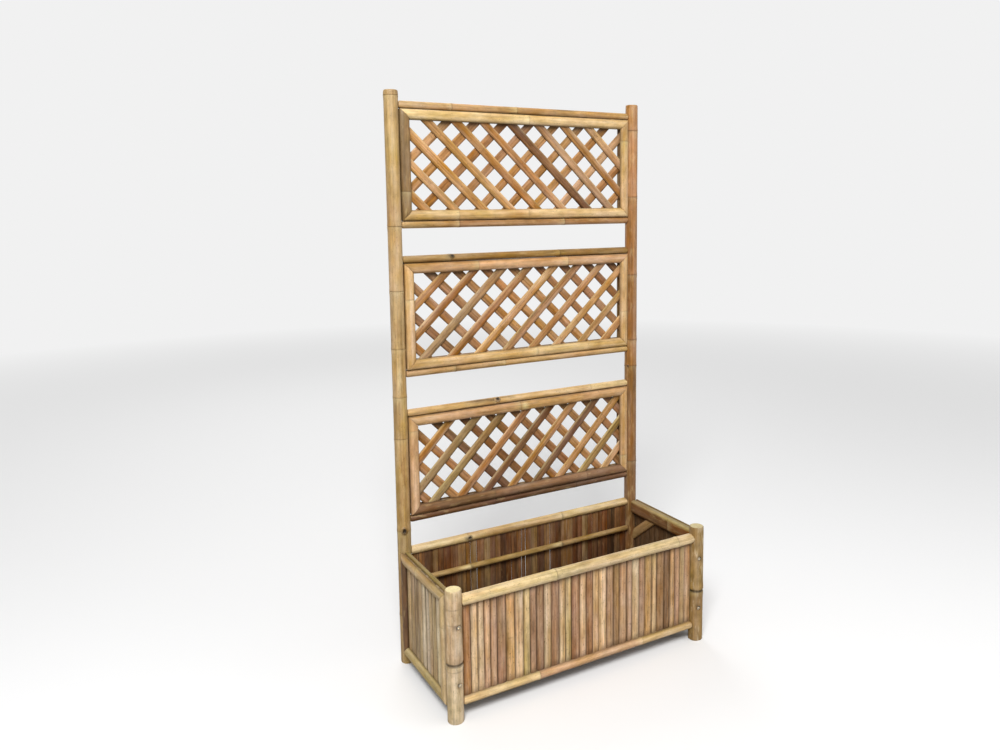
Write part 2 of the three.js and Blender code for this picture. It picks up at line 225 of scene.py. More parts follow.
def steelFinish(name):
    tree = Tree(bpy.data.materials.new(name))
    place = tree.add("TexCoord").outputs["Object"]
    rust = tree.noise(place, (420, 420, 420), 3, 0.5, 0.66)
    brushed = tree.noise(place, (300, 1500, 300), 2)
    toned = tree.mix(brushed, (0.7, 0.6, 0.45, 1), (1, 0.93, 0.77, 1))
    toned = tree.tint(tree.math("MULTIPLY", rust, 0.45), toned, "umber")
    rough = tree.math("ADD", 0.34, tree.sum((rust, 0.3), (brushed, 0.1)))
    tree.shader.inputs["Metallic"].default_value = 1
    return tree.finish(toned, rough, brushed, 0.1 * mm, 0.3)


skin = {
    "streak": 0.44, "band": 0.26, "fibre": 0.2, "blotch": 0.26, "warmth": -0.22, "hue": 0.014,
    "mottle": 0.3, "mottleScale": (45, 110, 110),
    "weather": 0.4, "weatherTone": "russet", "worn": 0.3, "wornTone": "straw", "speck": 0.55,
    "roughness": 0.52, "shine": 0.3, "lift": 0.35, "bump": 0.35,
}
woods = {                       # what differs from the skin
    "postSkin": {
        "streak": 0.4, "mottle": 0.36, "mottleScale": (55, 70, 70), "warmth": -0.2, "blotch": 0.34,
        "weather": 0.5, "weatherTone": "mauve", "worn": 0.55, "wornTone": "pale", "roughness": 0.6,
        "bump": 0.5,
    },
    "culmSkin": {},
    "stripSkin": {"streak": 0.32, "weather": 0.35, "roughness": 0.54},
    "splitWood": {
        "streak": 0.68, "band": 0.32, "fibre": 0.34, "hue": 0.016, "wornTone": "sand", "speck": 0.8,
        "roughness": 0.66, "shine": 0.24, "lift": 0.5, "bump": 0.5,
    },
    "latticeWood": {
        "streak": 0.6, "band": 0.34, "fibre": 0.34, "blotch": 0.3, "hue": 0.016, "worn": 0.25,
        "wornTone": "caramel", "speck": 0.8, "roughness": 0.7, "shine": 0.18, "lift": 0.5, "bump": 0.5,
    },
    "innerWood": {
        "streak": 0.75, "band": 0.4, "fibre": 0.3, "blotch": 0.3, "hue": 0.02, "weather": 0.45,
        "weatherTone": "bark", "worn": 0.35, "wornTone": "honey", "speck": 0.8, "roughness": 0.74,
        "shine": 0.22, "lift": 0.6, "bump": 0.5,
    },
}
finishes = {name: bambooFinish(name, skin | look) for name, look in woods.items()}
finishes["cutEnd"] = endFinish("cutEnd")
finishes["steel"] = steelFinish("screwSteel")
print("finishes made", len(finishes))


# Shapes. A piece is built along its own X, with its face towards its own Z, then placed

def placing(along, outward, origin):
    axes = Matrix((along, outward.cross(along), outward))
    return Matrix.Translation(origin) @ axes.transposed().to_4x4()


hair = 0.001 * mm               # points nearer than this are one
spare = 4 * mm                  # what an even place along a piece keeps from a joint's ring
endReach = 4 * mm               # points nearer to a rail's end than this slide when it is coped
sharpAngle = 38                 # a wider bend than this, in degrees, shows as an edge


def spun(outline, steps):       # outline is (distance along, distance out)
    bm = bmesh.new()
    chain = [bm.verts.new((x, 0, out)) for x, out in outline]
    links = [bm.edges.new(pair) for pair in zip(chain, chain[1:])]
    bmesh.ops.spin(
        bm, geom=chain + links, axis=(1, 0, 0), cent=(0, 0, 0), angle=2 * pi, steps=steps, use_merge=True,
    )
    bmesh.ops.remove_doubles(bm, verts=bm.verts, dist=hair)
    bmesh.ops.recalc_face_normals(bm, faces=bm.faces)
    return bm


def prism(section, length):     # section is (across, outward)
    bm = bmesh.new()
    face = bm.faces.new([bm.verts.new((0, across, out)) for across, out in section])
    made = bmesh.ops.extrude_face_region(bm, geom=[face])
    moved = [part for part in made["geom"] if isinstance(part, bmesh.types.BMVert)]
    bmesh.ops.translate(bm, verts=moved, vec=(length, 0, 0))
    bmesh.ops.recalc_face_normals(bm, faces=bm.faces)
    return bm


def clearOf(x, rings):
    return all(abs(x - other) > spare for other in rings)


def stationsOf(length, spacing, rings):     # the rings, and even places along a piece that are clear of them
    steps = max(2, int(length / spacing))
    even = [length * i / steps for i in range(1, steps)]
    return sorted([x for x in even if clearOf(x, rings)] + rings)


def ringed(bm, stations):       # rings of points across a piece, so that it can bend and swell
    for x in stations:
        whole = bm.verts[:] + bm.edges[:] + bm.faces[:]
        bmesh.ops.bisect_plane(bm, geom=whole, dist=hair, plane_co=(x, 0, 0), plane_no=(1, 0, 0))


def cut(bm, point, normal):     # what lies beyond the plane goes, and the cut is closed
    whole = bm.verts[:] + bm.edges[:] + bm.faces[:]
    made = bmesh.ops.bisect_plane(
        bm, geom=whole, dist=hair, plane_co=point, plane_no=normal, clear_outer=True,
    )
    rim = [part for part in made["geom_cut"] if isinstance(part, bmesh.types.BMEdge)]
    if rim:
        bmesh.ops.edgeloop_fill(bm, edges=rim)


def soften(bm, width, segments=2, angle=50):
    sharp = [edge for edge in bm.edges if edge.is_manifold and edge.calc_face_angle() > radians(angle)]
    bmesh.ops.bevel(
        bm, geom=sharp, offset=width, offset_type="OFFSET", segments=segments, profile=0.5,
        affect="EDGES", material=-1, clamp_overlap=True,
    )


def paint(bm, rng, toneAt, markAndShadeAt):
    grain = bm.verts.layers.float_vector.new("grain")
    tint = bm.verts.layers.float_color.new("tone")
    mark = bm.verts.layers.float.new("mark")
    start = Vector((rng.uniform(1, 40), 0, 0))
    for vert in bm.verts:
        vert[grain] = vert.co + start
        vert[tint] = (*toneAt(vert.co), 1)
        vert[mark] = markAndShadeAt(vert.co)


def meshOf(bm, name):           # the bmesh is used up
    mesh = bpy.data.meshes.new(name)
    bm.to_mesh(mesh)
    bm.free()
    return mesh


def linked(bm, name):
    made = bpy.data.objects.new(name, meshOf(bm, name))
    bpy.context.scene.collection.objects.link(made)
    return made


def addTo(whole, part):
    mesh = meshOf(part, "part")
    whole.from_mesh(mesh)
    bpy.data.meshes.remove(mesh)


def carved(bm, tools, crossing=False):      # crossing says that a tool runs through itself
    blank = linked(bm, "blank")
    cutters = [linked(tool, "cutter") for tool in tools]
    for cutter in cutters:
        step = blank.modifiers.new("cut", "BOOLEAN")
        step.operation = "DIFFERENCE"
        step.solver = "EXACT"
        step.use_self = crossing
        step.object = cutter
    bpy.context.view_layer.update()
    made = bmesh.new()
    made.from_object(blank, bpy.context.evaluated_depsgraph_get())
    for used in (blank, *cutters):
        mesh = used.data
        bpy.data.objects.remove(used)
        bpy.data.meshes.remove(mesh)
    return made


def makePiece(bm, node, slot, *used):
    first, *others = node.split("_")
    piece = linked(bm, first + "".join(word.capitalize() for word in others))
    for finish in used:
        piece.data.materials.append(finishes[finish])
    piece.data.shade_smooth()
    piece.data.set_sharp_from_angle(angle=radians(sharpAngle))
    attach(piece, "root")
    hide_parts(node)


def middleOf(box):
    return (box[0] + box[1]) / 2


def sizeOf(box):
    return box[1] - box[0]


# Bamboo joints

ring = {
    # (distance along, lift off the skin)
    "plain": [(-12, 0), (-5, 0.4), (-1.6, 1), (-0.6, 0.85), (0, -1), (0.6, 0.7), (1.8, 0.8), (6, 0.3),
              (12, 0)],
    "lip": [(-16, 0), (-7, 0.5), (-3.8, 0.75), (-2.6, 0.2), (-1.8, -1.9), (0.5, -1.9), (1, 0.6), (2.2, 1),
            (6, 0.8), (15, 0)],    # the upper length overhangs the lower one
    "bloom": 22 * mm,           # how far the pale bloom reaches below a joint
    "bloomShare": 0.3,
    "shade": 0.3, "shadeReach": 5,          # beside a joint's groove
}


def ringStations(places, scale, low, high, kind="plain"):
    found = [place + reach * mm * scale for place in places for reach, _ in ring[kind]]
    return [x for x in found if low < x < high]


def ringLift(x, places, scale, kind="plain"):
    near = min(places, key=lambda place: abs(x - place), default=None)
    if near is None:
        return 0
    return stepped(ring[kind], (x - near) / mm / scale)


def jointPaint(places, look, rng):
    plain = tone(look["tone"])
    other = tone(look.get("other", look["tone"]))
    shares = look.get("shares") or [rng.uniform(0, 1) for _ in range(len(places) + 1)]
    bloom = look.get("bloom", ring["bloomShare"])
    levels = [rng.uniform(0.94, 1.06) for _ in shares]

    def toneAt(co):
        place = bisect(places, co.x)
        made = plain.lerp(other, shares[place]) * levels[place]
        if place < len(places):
            made = made.lerp(tone("cream"), bloom * fade(places[place] - co.x, ring["bloom"]))
        return made

    return toneAt


def spotAt(co, centre, reach, share):       # the share in a spot's middle, 0 past its reach
    off = co - centre
    return share * fade(Vector([off[i] / reach[i] for i in range(3)]).length, 1)


def markAndShadePaint(places, scale, spots, depth=0.5, groove=1.1, seam=None):
    # the last argument is (turn, strength): painted shade along the line where a culm meets its neighbour
    def markAndShadeAt(co):
        uneven = 0.85 + 0.5 * noise.noise(co * 70)
        marks = [min(0.98, depth * uneven) * fade(co.x - place, groove * mm * scale) for place in places]
        shade, reach = ring["shade"], ring["shadeReach"] * mm * scale
        marks += [depth * shade * uneven * fade(co.x - place, reach) for place in places]
        marks += [spotAt(co, *spot) for spot in spots]
        if seam and hypot(co.y, co.z) > 2 * mm:
            side = turned(seam[0])
            marks.append(seam[1] * fade(side.angle(Vector((0, co.y, co.z))), 0.95))
        return max(marks, default=0)

    return markAndShadeAt


# Culms: posts and rails

culm = {
    "sides": 40, "spacing": 22 * mm,
    "swell": 0.7 * mm,          # how far a joint stands out of the skin
    "waver": 0.35 * mm,         # unevenness of the skin
    "bow": 0.7 * mm, "bowLength": 0.6,      # a culm as long as this, or longer, bows in full
    "core": 9 * mm,             # nearer the axis than this, nothing wavers
}


def culmEnd(kind, radius):      # (distance from the end, distance out), from the axis outwards
    if kind == "top":           # closed by the wall of a joint, a little dished
        return [(1.1 * mm, 0), (0.9 * mm, radius - 8 * mm), (0.35 * mm, radius - 4.6 * mm),
                (0, radius - 3.4 * mm), (0.25 * mm, radius - 1.9 * mm), (1.2 * mm, radius - 0.7 * mm),
                (2.8 * mm, radius - 0.1 * mm)]
    if kind == "foot":          # sawn off, open inside
        return [(26 * mm, 0), (26 * mm, 8 * mm), (0.3 * mm, 8 * mm), (0, 8.4 * mm), (0, radius - 1.6 * mm),
                (0.5 * mm, radius - 0.5 * mm), (1.8 * mm, radius)]
    if kind == "shoulder":      # rounded off where it meets a post
        return [(0, 0), (0, radius - 3 * mm), (0.5 * mm, radius - 1.5 * mm), (1.7 * mm, radius - 0.5 * mm),
                (3.6 * mm, radius)]
    return [(0, 0), (0, radius - 0.8 * mm), (0.8 * mm, radius)]


def buildCulm(length, radius, places, look, rng, ends=("plain", "plain")):
    swell = look.get("swell", culm["swell"])
    scale = look.get("ringScale", 1)
    body = radius - swell
    start = culmEnd(ends[0], body)
    finish = culmEnd(ends[1], body)
    first, last = max(x for x, _ in start[1:]), max(x for x, _ in finish[1:])
    if ends[0] == "foot":
        first = start[-1][0]
    steps = int(length / culm["spacing"])
    stations = {round(length * i / steps, 5) for i in range(1, steps)}
    kind = look.get("ring", "plain")
    rings = ringStations(places, scale, 0, length, kind) + look.get("extra", [])
    stations = {x for x in stations if clearOf(x, rings)}
    inner = sorted(x for x in stations | set(rings) if first + 0.3 * mm < x < length - last - 0.3 * mm)
    outline = start + [(x, body + swell * ringLift(x, places, scale, kind)) for x in inner]
    outline += [(length - x, out) for x, out in reversed(finish)]
    bm = spun(outline, culm["sides"])
    shift = Vector((rng.uniform(0, 50), 0, 0))
    lean = rng.uniform(0, 2 * pi)
    for vert in bm.verts:
        flat = Vector((0, vert.co.y, vert.co.z))
        if flat.length > culm["core"]:
            ripple = noise.noise(Vector((vert.co.x * 9, 0, 0)) + flat * 55 + shift) - 1
            flat *= 1 + ripple * culm["waver"] / 2 / flat.length
        bow = culm["bow"] * sin(pi * vert.co.x / length) * min(1, length / culm["bowLength"])
        vert.co.y = max(-radius, min(radius, flat.y + bow * cos(lean)))
        vert.co.z = max(-radius, min(radius, flat.z + bow * sin(lean)))
    return bm


def patched(toneAt, look, spots):      # a patch is a spot with a tone of its own: most stand for stain, the cocoa one on a back post for painted shade
    def made(co):
        result = toneAt(co)
        for spot, patch in zip(spots, look.get("patches", ())):
            result = result.lerp(tone(patch[5]), spotAt(co, *spot))
        return result

    return made


def spotsOn(stainsAndShade, radius):    # (along, turn from the front, length, width, strength) on a culm's skin
    return [(right * along * mm + turned(turn) * radius, (length * mm, width * mm, width * mm), strength)
            for along, turn, length, width, strength, *_ in stainsAndShade]


scar = {                        # where a branch was cut off: (distance from the skin, distance out)
    "outline": [(0.5, 0), (0.4, 1.1), (1.1, 2), (1.3, 2.7), (0.7, 3.8), (-0.6, 5)],
    "dark": [(0, 0.97), (1.1, 0.97), (2, 0.9), (2.7, 0.6), (3.8, 0.4), (5, 0.2)],
    "sides": 14, "stretch": (1, 0.85, 1.2, 1),
}


def addScar(whole, along, turn, radius, size, rng, toneName):
    outline = [(x * mm * size, out * mm * size) for x, out in scar["outline"]]
    outline.append((-1.5 * mm * size, 0))
    bm = spun(outline, scar["sides"])
    paint(bm, rng, lambda co: tone(toneName) * 0.85,
          lambda co: stepped(scar["dark"], hypot(co.y, co.z) / mm / size))
    out = turned(turn)
    place = placing(out, right, right * along * mm + out * radius)
    bm.transform(place @ Matrix.Diagonal(scar["stretch"]))
    addTo(whole, bm)


def markEnds(bm, cutEnds, length):     # the cut faces take the second finish
    bm.normal_update()
    for face in bm.faces:
        at = face.calc_center_median().x
        for end in cutEnds:
            if abs(at - end * length) < 1.2 * mm and abs(face.normal.x) > 0.8:
                face.material_index = 1


def paintCulm(bm, places, look, radius, rng):
    scale = look.get("ringScale", 1)
    spots = spotsOn(look.get("stainsAndShade", ()), radius)
    lipped = look.get("ring") == "lip"
    # under a lip, the dark band below the overhang is the joint's dark line and painted shade
    grooves = [place - 0.9 * mm * scale for place in places] if lipped else places
    reach = 3.6 if lipped else 1.1
    marks = markAndShadePaint(grooves, scale, spots, look.get("ringDepth", 0.5), reach, look.get("seam"))
    holes = look.get("holes", ())

    def markAndShadeAt(co):             # painted shade: a screw's hole is dark inside, down from its rim
        off = min([hypot(co.x - x, co.y - y) for x, y in holes], default=1)
        if co.z <= 0 or off >= hole["radius"] + 0.2 * mm:
            return marks(co)
        sunk = max(0, radius - hypot(co.y, co.z) - 1.1 * mm)
        return max(0.97 * min(1, sunk / (0.5 * mm)), marks(co))

    toneAt = patched(jointPaint(places, look, rng), look, spotsOn(look.get("patches", ()), radius))
    paint(bm, rng, toneAt, markAndShadeAt)
    for along, turn, size in look.get("scars", ()):
        addScar(bm, along, turn, radius - look.get("swell", culm["swell"]), size, rng, look["tone"])


# Posts. Heights and turns are measured up from the ground and from the front round to the left
posts = {
    "front_left_post": {
        "rings": [134], "ring": "lip", "ringScale": 1.9, "tone": "sand", "other": "pale", "shares": [0.25, 0],
        "lines": [118, 222, 256],
        "ringDepth": 1.3, "swell": 1 * mm,
        "stainsAndShade": [(252, -25, 34, 9, 0.22), (256, 10, 2.5, 60, 0.3), (222, 0, 2.5, 60, 0.3),
                   (118, 0, 2.5, 60, 0.3), (215, -50, 40, 9, 0.3), (205, 20, 60, 7, 0.1),
                   (118, -60, 40, 9, 0.22)],
        "patches": [(170, -10, 40, 14, 0.6, "pale"), (100, 10, 50, 12, 0.4, "pale"),
                    (270, 10, 20, 20, 0.4, "dusk"), (235, -40, 30, 12, 0.4, "greyTan")],
    },
    "front_right_post": {
        "rings": [132], "ring": "lip", "ringScale": 1.7, "tone": "tan", "other": "khaki",
        "shares": [0.5, 0.6],
        "ringDepth": 1.3, "swell": 1 * mm,
        "stainsAndShade": [(296, 0, 9, 400, 0.3), (284, 0, 12, 60, 0.4), (250, 40, 24, 10, 0.3),
                   (200, 20, 30, 8, 0.25), (92, 30, 12, 9, 0.5), (222, 15, 14, 9, 0.4)],
    },
    "back_left_post": {
        "rings": [122, 331, 554, 653, 766, 900, 1047, 1338], "tone": "honey", "other": "khaki",
        "shares": [0.6, 0.8, 0.5, 0.45, 0.3, 0.5, 0.35, 0.4, 0.2], "bloom": 0.2, "ringDepth": 0.45,
        "stainsAndShade": [(331, 18, 15, 12, 0.5), (420, 60, 80, 8, 0.2), (1160, 80, 160, 7, 0.2),
                   (1346, 0, 12, 50, 0.3), (620, 70, 120, 6, 0.22), (860, 60, 60, 6, 0.2)],
        "patches": [(170, 40, 180, 40, 0.6, "mauve"), (700, 20, 60, 9, 0.4, "cream"),
                    (1180, 0, 90, 9, 0.4, "sand"), (470, 10, 60, 9, 0.4, "dusk")],
        "scars": [(333, 16, 2.1)],
    },
    # painted shade: the umber shares low down, the cocoa patch and the dark spots at heights 160 and 240
    # darken the post inside the box
    "back_right_post": {
        "rings": [140, 392, 658, 729, 905, 1111, 1283], "tone": "toast", "other": "umber",
        "shares": [0.8, 0.85, 0.6, 0.4, 0.5, 0.3, 0.05, 0.15], "bloom": 0.15, "ringDepth": 0.6,
        "stainsAndShade": [(620, -10, 60, 8, 0.3), (960, 30, 70, 7, 0.25), (240, 0, 60, 14, 0.4),
                   (160, -30, 40, 12, 0.5)],
        "patches": [(170, 0, 105, 50, 0.6, "cocoa")],
        "scars": [(658, 60, 0.8)],
    },
}


# Screw holes and fine lines have rings of points on both sides
hole = {"radius": 6 * mm, "rings": (-13, -7.5, 7.5, 13), "sides": 20, "reach": 40 * mm, "floor": 3.4 * mm}
lineRings = (-2.5, 0, 2.5)


def screwHoles(node):           # (x, height, depth) of each screw's head in a front post
    side = node.split("_")[1]
    boxes = [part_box(f"{side}_{level}_screw") for level in ("upper", "lower")]
    return [(middleOf(box).x, middleOf(box).z, box[0].y + hole["floor"]) for box in boxes]


def drill(bm, holes):           # round holes from the front
    tools = []
    for x, height, depth in holes:
        tool = bmesh.new()
        bmesh.ops.create_cone(
            tool, cap_ends=True, segments=hole["sides"], radius1=hole["radius"], radius2=hole["radius"],
            depth=hole["reach"],
        )
        middle = Matrix.Translation((x, depth - hole["reach"] / 2, height))
        tool.transform(middle @ Matrix.Rotation(pi / 2, 4, "X"))
        tools.append(tool)
    return carved(bm, tools)


def makePosts():
    for node, look in posts.items():
        short = node.startswith("front")
        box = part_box(node)
        middle, length, radius = middleOf(box), sizeOf(box).z, sizeOf(box).x / 2
        rng = random.Random(node)
        places = [height * mm for height in look["rings"]]
        holes = screwHoles(node) if short else []
        extra = [height + reach * mm for _, height, _ in holes for reach in hole["rings"]]
        extra += [(height + reach) * mm for height in look.get("lines", ()) for reach in lineRings]
        look = look | {"holes": [(height, x - middle.x) for x, height, _ in holes], "extra": extra}
        bm = buildCulm(length, radius, places, look, rng, ("foot", "top"))
        place = placing(up, front, Vector((middle.x, middle.y, 0)))
        if short:
            bm.transform(place)
            bm = drill(bm, holes)
            bm.transform(place.inverted())
        paintCulm(bm, places, look, radius, rng)
        markEnds(bm, (0, 1), length)
        bm.transform(place)
        kinds = ("post_culm", "postSkin") if short else ("trellis_post_culm", "culmSkin")
        makePiece(bm, node, *kinds, "cutEnd")
    print("posts made", len(posts))


makePosts()

# Rails. Places are measured from the middle, to the right. A turn goes from the front up
rails = {
    # each rail's seam is painted shade on the side where it meets a panel frame or the wall slats
    "upper_top_rail": {
        "rings": [-186, -14], "tone": "tan", "other": "peach", "seam": (-90, 0.9),
        "stainsAndShade": [(125, 50, 40, 8, 0.5), (96, 20, 26, 5, 0.3), (-60, 40, 50, 5, 0.2)],
    },
    "upper_bottom_rail": {
        "rings": [-173, 118], "tone": "tan", "other": "russet", "seam": (90, 0.9),
        "stainsAndShade": [(-173, 20, 8, 10, 0.35)],
    },
    "middle_top_rail": {
        "rings": [-197, 104], "tone": "darkOlive", "other": "toast", "shares": [0.15, 0.4, 0.25],
        "seam": (-90, 0.85), "bloom": 0.12,
        "stainsAndShade": [(-197, 40, 14, 9, 0.7), (-120, 30, 60, 5, 0.25)], "scars": [(-194, 30, 1.3)],
    },
    "middle_bottom_rail": {
        "rings": [-190, -56], "tone": "tan", "other": "honey", "seam": (90, 0.75),
        "stainsAndShade": [(-190, 10, 12, 8, 0.4), (80, -20, 90, 6, 0.2)],
    },
    "lower_top_rail": {
        "rings": [-82, 197], "tone": "honey", "other": "straw", "shares": [0.1, 0.2, 0.7],
        "seam": (-90, 0.85), "scars": [(-80, 36, 1.6)],
        "stainsAndShade": [(-88, 36, 20, 9, 0.85), (-128, 52, 60, 9, 0.75), (-50, 52, 34, 7, 0.5)],
    },
    # painted shade: dark tones, as the rail lies in shadow under the lowest frame
    "lower_bottom_rail": {
        "rings": [-90, 150], "tone": "cocoa", "other": "bark", "shares": [0.3, 0.5, 0.4],
        "seam": (90, 0.3), "bloom": 0, "stainsAndShade": [(-90, 0, 14, 8, 0.3)],
    },
    "front_top_rail": {
        "rings": [-82, 266], "tone": "straw", "other": "pale", "shares": [0.2, 0.4, 0.5],
        "swell": 1 * mm, "seam": (-90, 0.6),
        "stainsAndShade": [(-78, -40, 8, 12, 0.15), (-10, -65, 170, 4, 0.15), (-200, 30, 70, 4, 0.1)],
        "patches": [(-30, 20, 90, 8, 0.5, "pale"), (-240, 0, 60, 9, 0.5, "cream"),
                    (90, 60, 120, 9, 0.4, "olive"), (-280, 50, 40, 9, 0.4, "pinkSand")],
    },
    "front_bottom_rail": {
        "rings": [-126, 160], "tone": "straw", "other": "pinkSand", "seam": (90, 0.6),
        "stainsAndShade": [(-122, -20, 10, 8, 0.15), (120, -10, 60, 5, 0.15)],
    },
    "back_top_rail": {
        "rings": [-168, 105], "tone": "straw", "other": "tan", "shares": [0.15, 0.5, 0.25],
        "seam": (-90, 0.65), "scars": [(-165, 8, 1.7)],
        "patches": [(-150, 20, 40, 9, 0.5, "cream"), (-260, 20, 50, 9, 0.4, "cream")],
        "stainsAndShade": [(-168, 5, 13, 10, 0.9), (-60, 20, 60, 5, 0.25), (190, 25, 50, 5, 0.25)],
    },
    "back_mid_rail": {
        "rings": [-165, 100], "tone": "tan", "other": "khaki", "seam": (-110, 0.6),
        "patches": [(-180, 30, 30, 8, 0.7, "cream"), (84, 30, 26, 8, 0.6, "cream")],
        "stainsAndShade": [(-162, 0, 6, 9, 0.6), (-110, 10, 12, 9, 0.4), (100, 10, 7, 8, 0.6)],
    },
    "back_bottom_rail": {"rings": [-120, 190], "tone": "honey", "other": "tan"},
    "floor_bearer": {"rings": [-180, 70], "tone": "tan", "other": "straw"},
}
oliveRails = ("front_top_rail", "back_mid_rail")


fit = {"rail": 0.3 * mm, "strip": 0.4 * mm, "floor": 0.6 * mm}       # slack between an end and a post


def cope(verts, axis, post, slack):    # slides an end's points along the axis until they fit round a post
    side = Vector((axis.y, axis.x, 0))
    radius = sizeOf(post).x / 2 - slack
    for vert in verts:
        off = (vert.co - middleOf(post)).dot(side)
        vert.co += axis * (radius - sqrt(max(radius ** 2 - off ** 2, 0)))


def makeRails():
    for node, look in rails.items():
        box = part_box(node)
        middle, radius = middleOf(box), sizeOf(box).z / 2
        rng = random.Random(node)
        facing = "front" if node.startswith("front") else "back"
        post = [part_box(f"{facing}_{side}_post") for side in sides]
        slack = fit["rail"]
        coped = node not in ("back_mid_rail", "floor_bearer")
        length = post[1][0].x - post[0][1].x + 2 * slack if coped else sizeOf(box).x
        start = -length / 2
        places = [x * mm - start for x in look["rings"]]
        moved = {key: [(x - start / mm, *others) for x, *others in look.get(key, ())]
                 for key in ("stainsAndShade", "scars", "patches")}
        end = "plain" if node == "floor_bearer" else "shoulder"
        bm = buildCulm(length, radius, places, look, rng, (end, end))
        paintCulm(bm, places, look | moved, radius, rng)
        near = [vert for vert in bm.verts if vert.co.x < endReach]
        far = [vert for vert in bm.verts if vert.co.x > length - endReach]
        bm.transform(placing(right, front, Vector((start, middle.y, middle.z))))
        if coped:
            cope(near, left, post[0], slack)
            cope(far, right, post[1], slack)
        makePiece(bm, node, "olive_rail_culm" if node in oliveRails else "rail_culm", "culmSkin")
    print("rails made", len(rails))


makeRails()

# Half-round strips: frames, inner tops, ledges and braces

strip = {
    "arcSteps": 12, "spacing": 16 * mm, "swell": 0.5 * mm, "waver": 0.3 * mm, "joint": 0.25 * mm,
    "edgeShade": 0.5, "edgeReach": 2.6 * mm,    # painted shade along the long edges, where a strip meets its neighbours
    "litCrestReach": 9 * mm,
}


def halfRound(length, width, depth, fullness=1):      # a fuller section is squarer
    steps = strip["arcSteps"]
    arc = []
    for i in range(steps + 1):
        turn = pi * i / steps
        across = abs(cos(turn)) ** (1 / fullness) * (1 if 2 * i < steps else -1)
        arc.append((across * width / 2, depth * abs(sin(turn)) ** (1 / fullness)))
    return prism(arc, length)


def shapeStrip(bm, length, depth, places, look, rng):
    scale = look.get("ringScale", 1)
    ringed(bm, stationsOf(length, strip["spacing"], ringStations(places, scale, 1 * mm, length - 1 * mm)))
    shift = Vector((rng.uniform(0, 50), 0, 0))
    for vert in bm.verts:
        share = max(0, vert.co.z / depth)
        low = strip["swell"] * (1 - ringLift(vert.co.x, places, scale)) * 0.5
        uneven = noise.noise(Vector((vert.co.x * 11, vert.co.y * 30, 0)) + shift)
        ripple = strip["waver"] * (0.5 + 0.5 * uneven)
        vert.co.z -= (low + ripple) * share
        vert.co.y *= 1 - low / (depth + 2 * mm) * share


def stripSpots(stainsAndShade, length, depth):     # (along, across, length, width, strength) as places on the face
    return [(Vector((x * mm + length / 2, y * mm, depth)), (a * mm, b * mm, 2 * depth), share)
            for x, y, a, b, share, *_ in stainsAndShade]


def stripPiece(box, along, outward, outer, look, rng, mitred=True, rounded=0.5 * mm):
    # outer says which long edge the mitres widen to. The box gives the place and the size
    length = abs(sizeOf(box).dot(along))
    depth = abs(sizeOf(box).dot(outward))
    across = outward.cross(along)
    width = abs(sizeOf(box).dot(across))
    edge = 1 if across.dot(outer) > 0 else -1
    bm = halfRound(length, width, depth, look.get("fullness", 1.15))
    if mitred:
        half = Vector((strip["joint"], edge * width / 2, 0))
        cut(bm, half, Vector((-1, -edge, 0)).normalized())
        cut(bm, Vector((length - half.x, half.y, 0)), Vector((1, -edge, 0)).normalized())
    soften(bm, rounded)
    places = [x * mm + length / 2 for x in look.get("rings", ())]
    shapeStrip(bm, length, depth, places, look, rng)
    spots = stripSpots(look.get("stainsAndShade", ()), length, depth)
    joints = markAndShadePaint(places, look.get("ringScale", 1), spots, 0.45)
    edgeShade = look.get("edgeShade", strip["edgeShade"])
    patches = stripSpots(look.get("patches", ()), length, depth)
    plain = patched(jointPaint(places, look, rng), look, patches)

    def toneAt(co):             # painted light: the outer edge of an inner strip, its top, is paler, as if lit from above
        if "crest" not in look:
            return plain(co)
        share = fade(width / 2 - edge * co.y, strip["litCrestReach"])
        return plain(co).lerp(tone(look["crest"]), min(1, 2.2 * share))

    def markAndShadeAt(co):
        return max(joints(co), edgeShade * fade(width / 2 - abs(co.y), strip["edgeReach"]))

    paint(bm, rng, toneAt, markAndShadeAt)
    corner = middleOf(box) - along * length / 2 - outward * depth / 2
    bm.transform(placing(along, outward, corner))
    return bm


# Rings, and spots of stain and painted shade, are measured from a strip's middle, to the right or upwards
frames = {
    "upper": {
        "top": {"rings": [16], "tone": "peach", "other": "straw", "stainsAndShade": [(-120, 4, 80, 4, 0.12)]},
        "bottom": {"rings": [-175, 13], "tone": "honey", "other": "straw", "shares": [0.4, 0.1, 0.5]},
        "left": {
            "rings": [-60], "tone": "khaki", "other": "umber", "shares": [0.65, 0.6],
            "stainsAndShade": [(0, 6, 160, 7, 0.3)],
        },
        "right": {"rings": [70], "tone": "honey", "other": "tan"},
    },
    "middle": {
        "top": {"rings": [-127, 125], "tone": "pinkSand", "other": "tan", "shares": [0.6, 0.2, 0.3]},
        "bottom": {"rings": [33], "tone": "straw", "other": "honey"},
        "left": {"rings": [40], "tone": "peach", "other": "honey"},
        "right": {"rings": [-30], "tone": "honey", "other": "peach"},
    },
    "lower": {
        "top": {
            "rings": [-18], "tone": "pinkSand", "other": "tan", "shares": [0.35, 0.75],
            "patches": [(-5, 0, 16, 16, 0.8, "cream")],
            "stainsAndShade": [(90, 4, 50, 4, 0.2), (-110, -2, 70, 3, 0.15)],
        },
        # painted shade: the long dark spot over the strip's lower half
        "bottom": {
            "rings": [-93, 180], "tone": "umber", "other": "mauve", "shares": [0.4, 0.6, 0.5],
            "bloom": 0.08, "stainsAndShade": [(0, -8, 400, 9, 0.6)],
        },
        "left": {"rings": [85], "tone": "peach", "other": "pinkSand"},
        "right": {"rings": [-70], "tone": "peach", "other": "tan"},
    },
}
rearFrame = {"tone": "umber", "other": "tan"}
darkStrips = ("lower_frame_bottom", "left_frame_back", "right_frame_back")
# the way that each member runs, and the way that its mitres widen to
directions = {"top": (right, up), "bottom": (right, -up), "left": (up, left), "right": (up, right)}


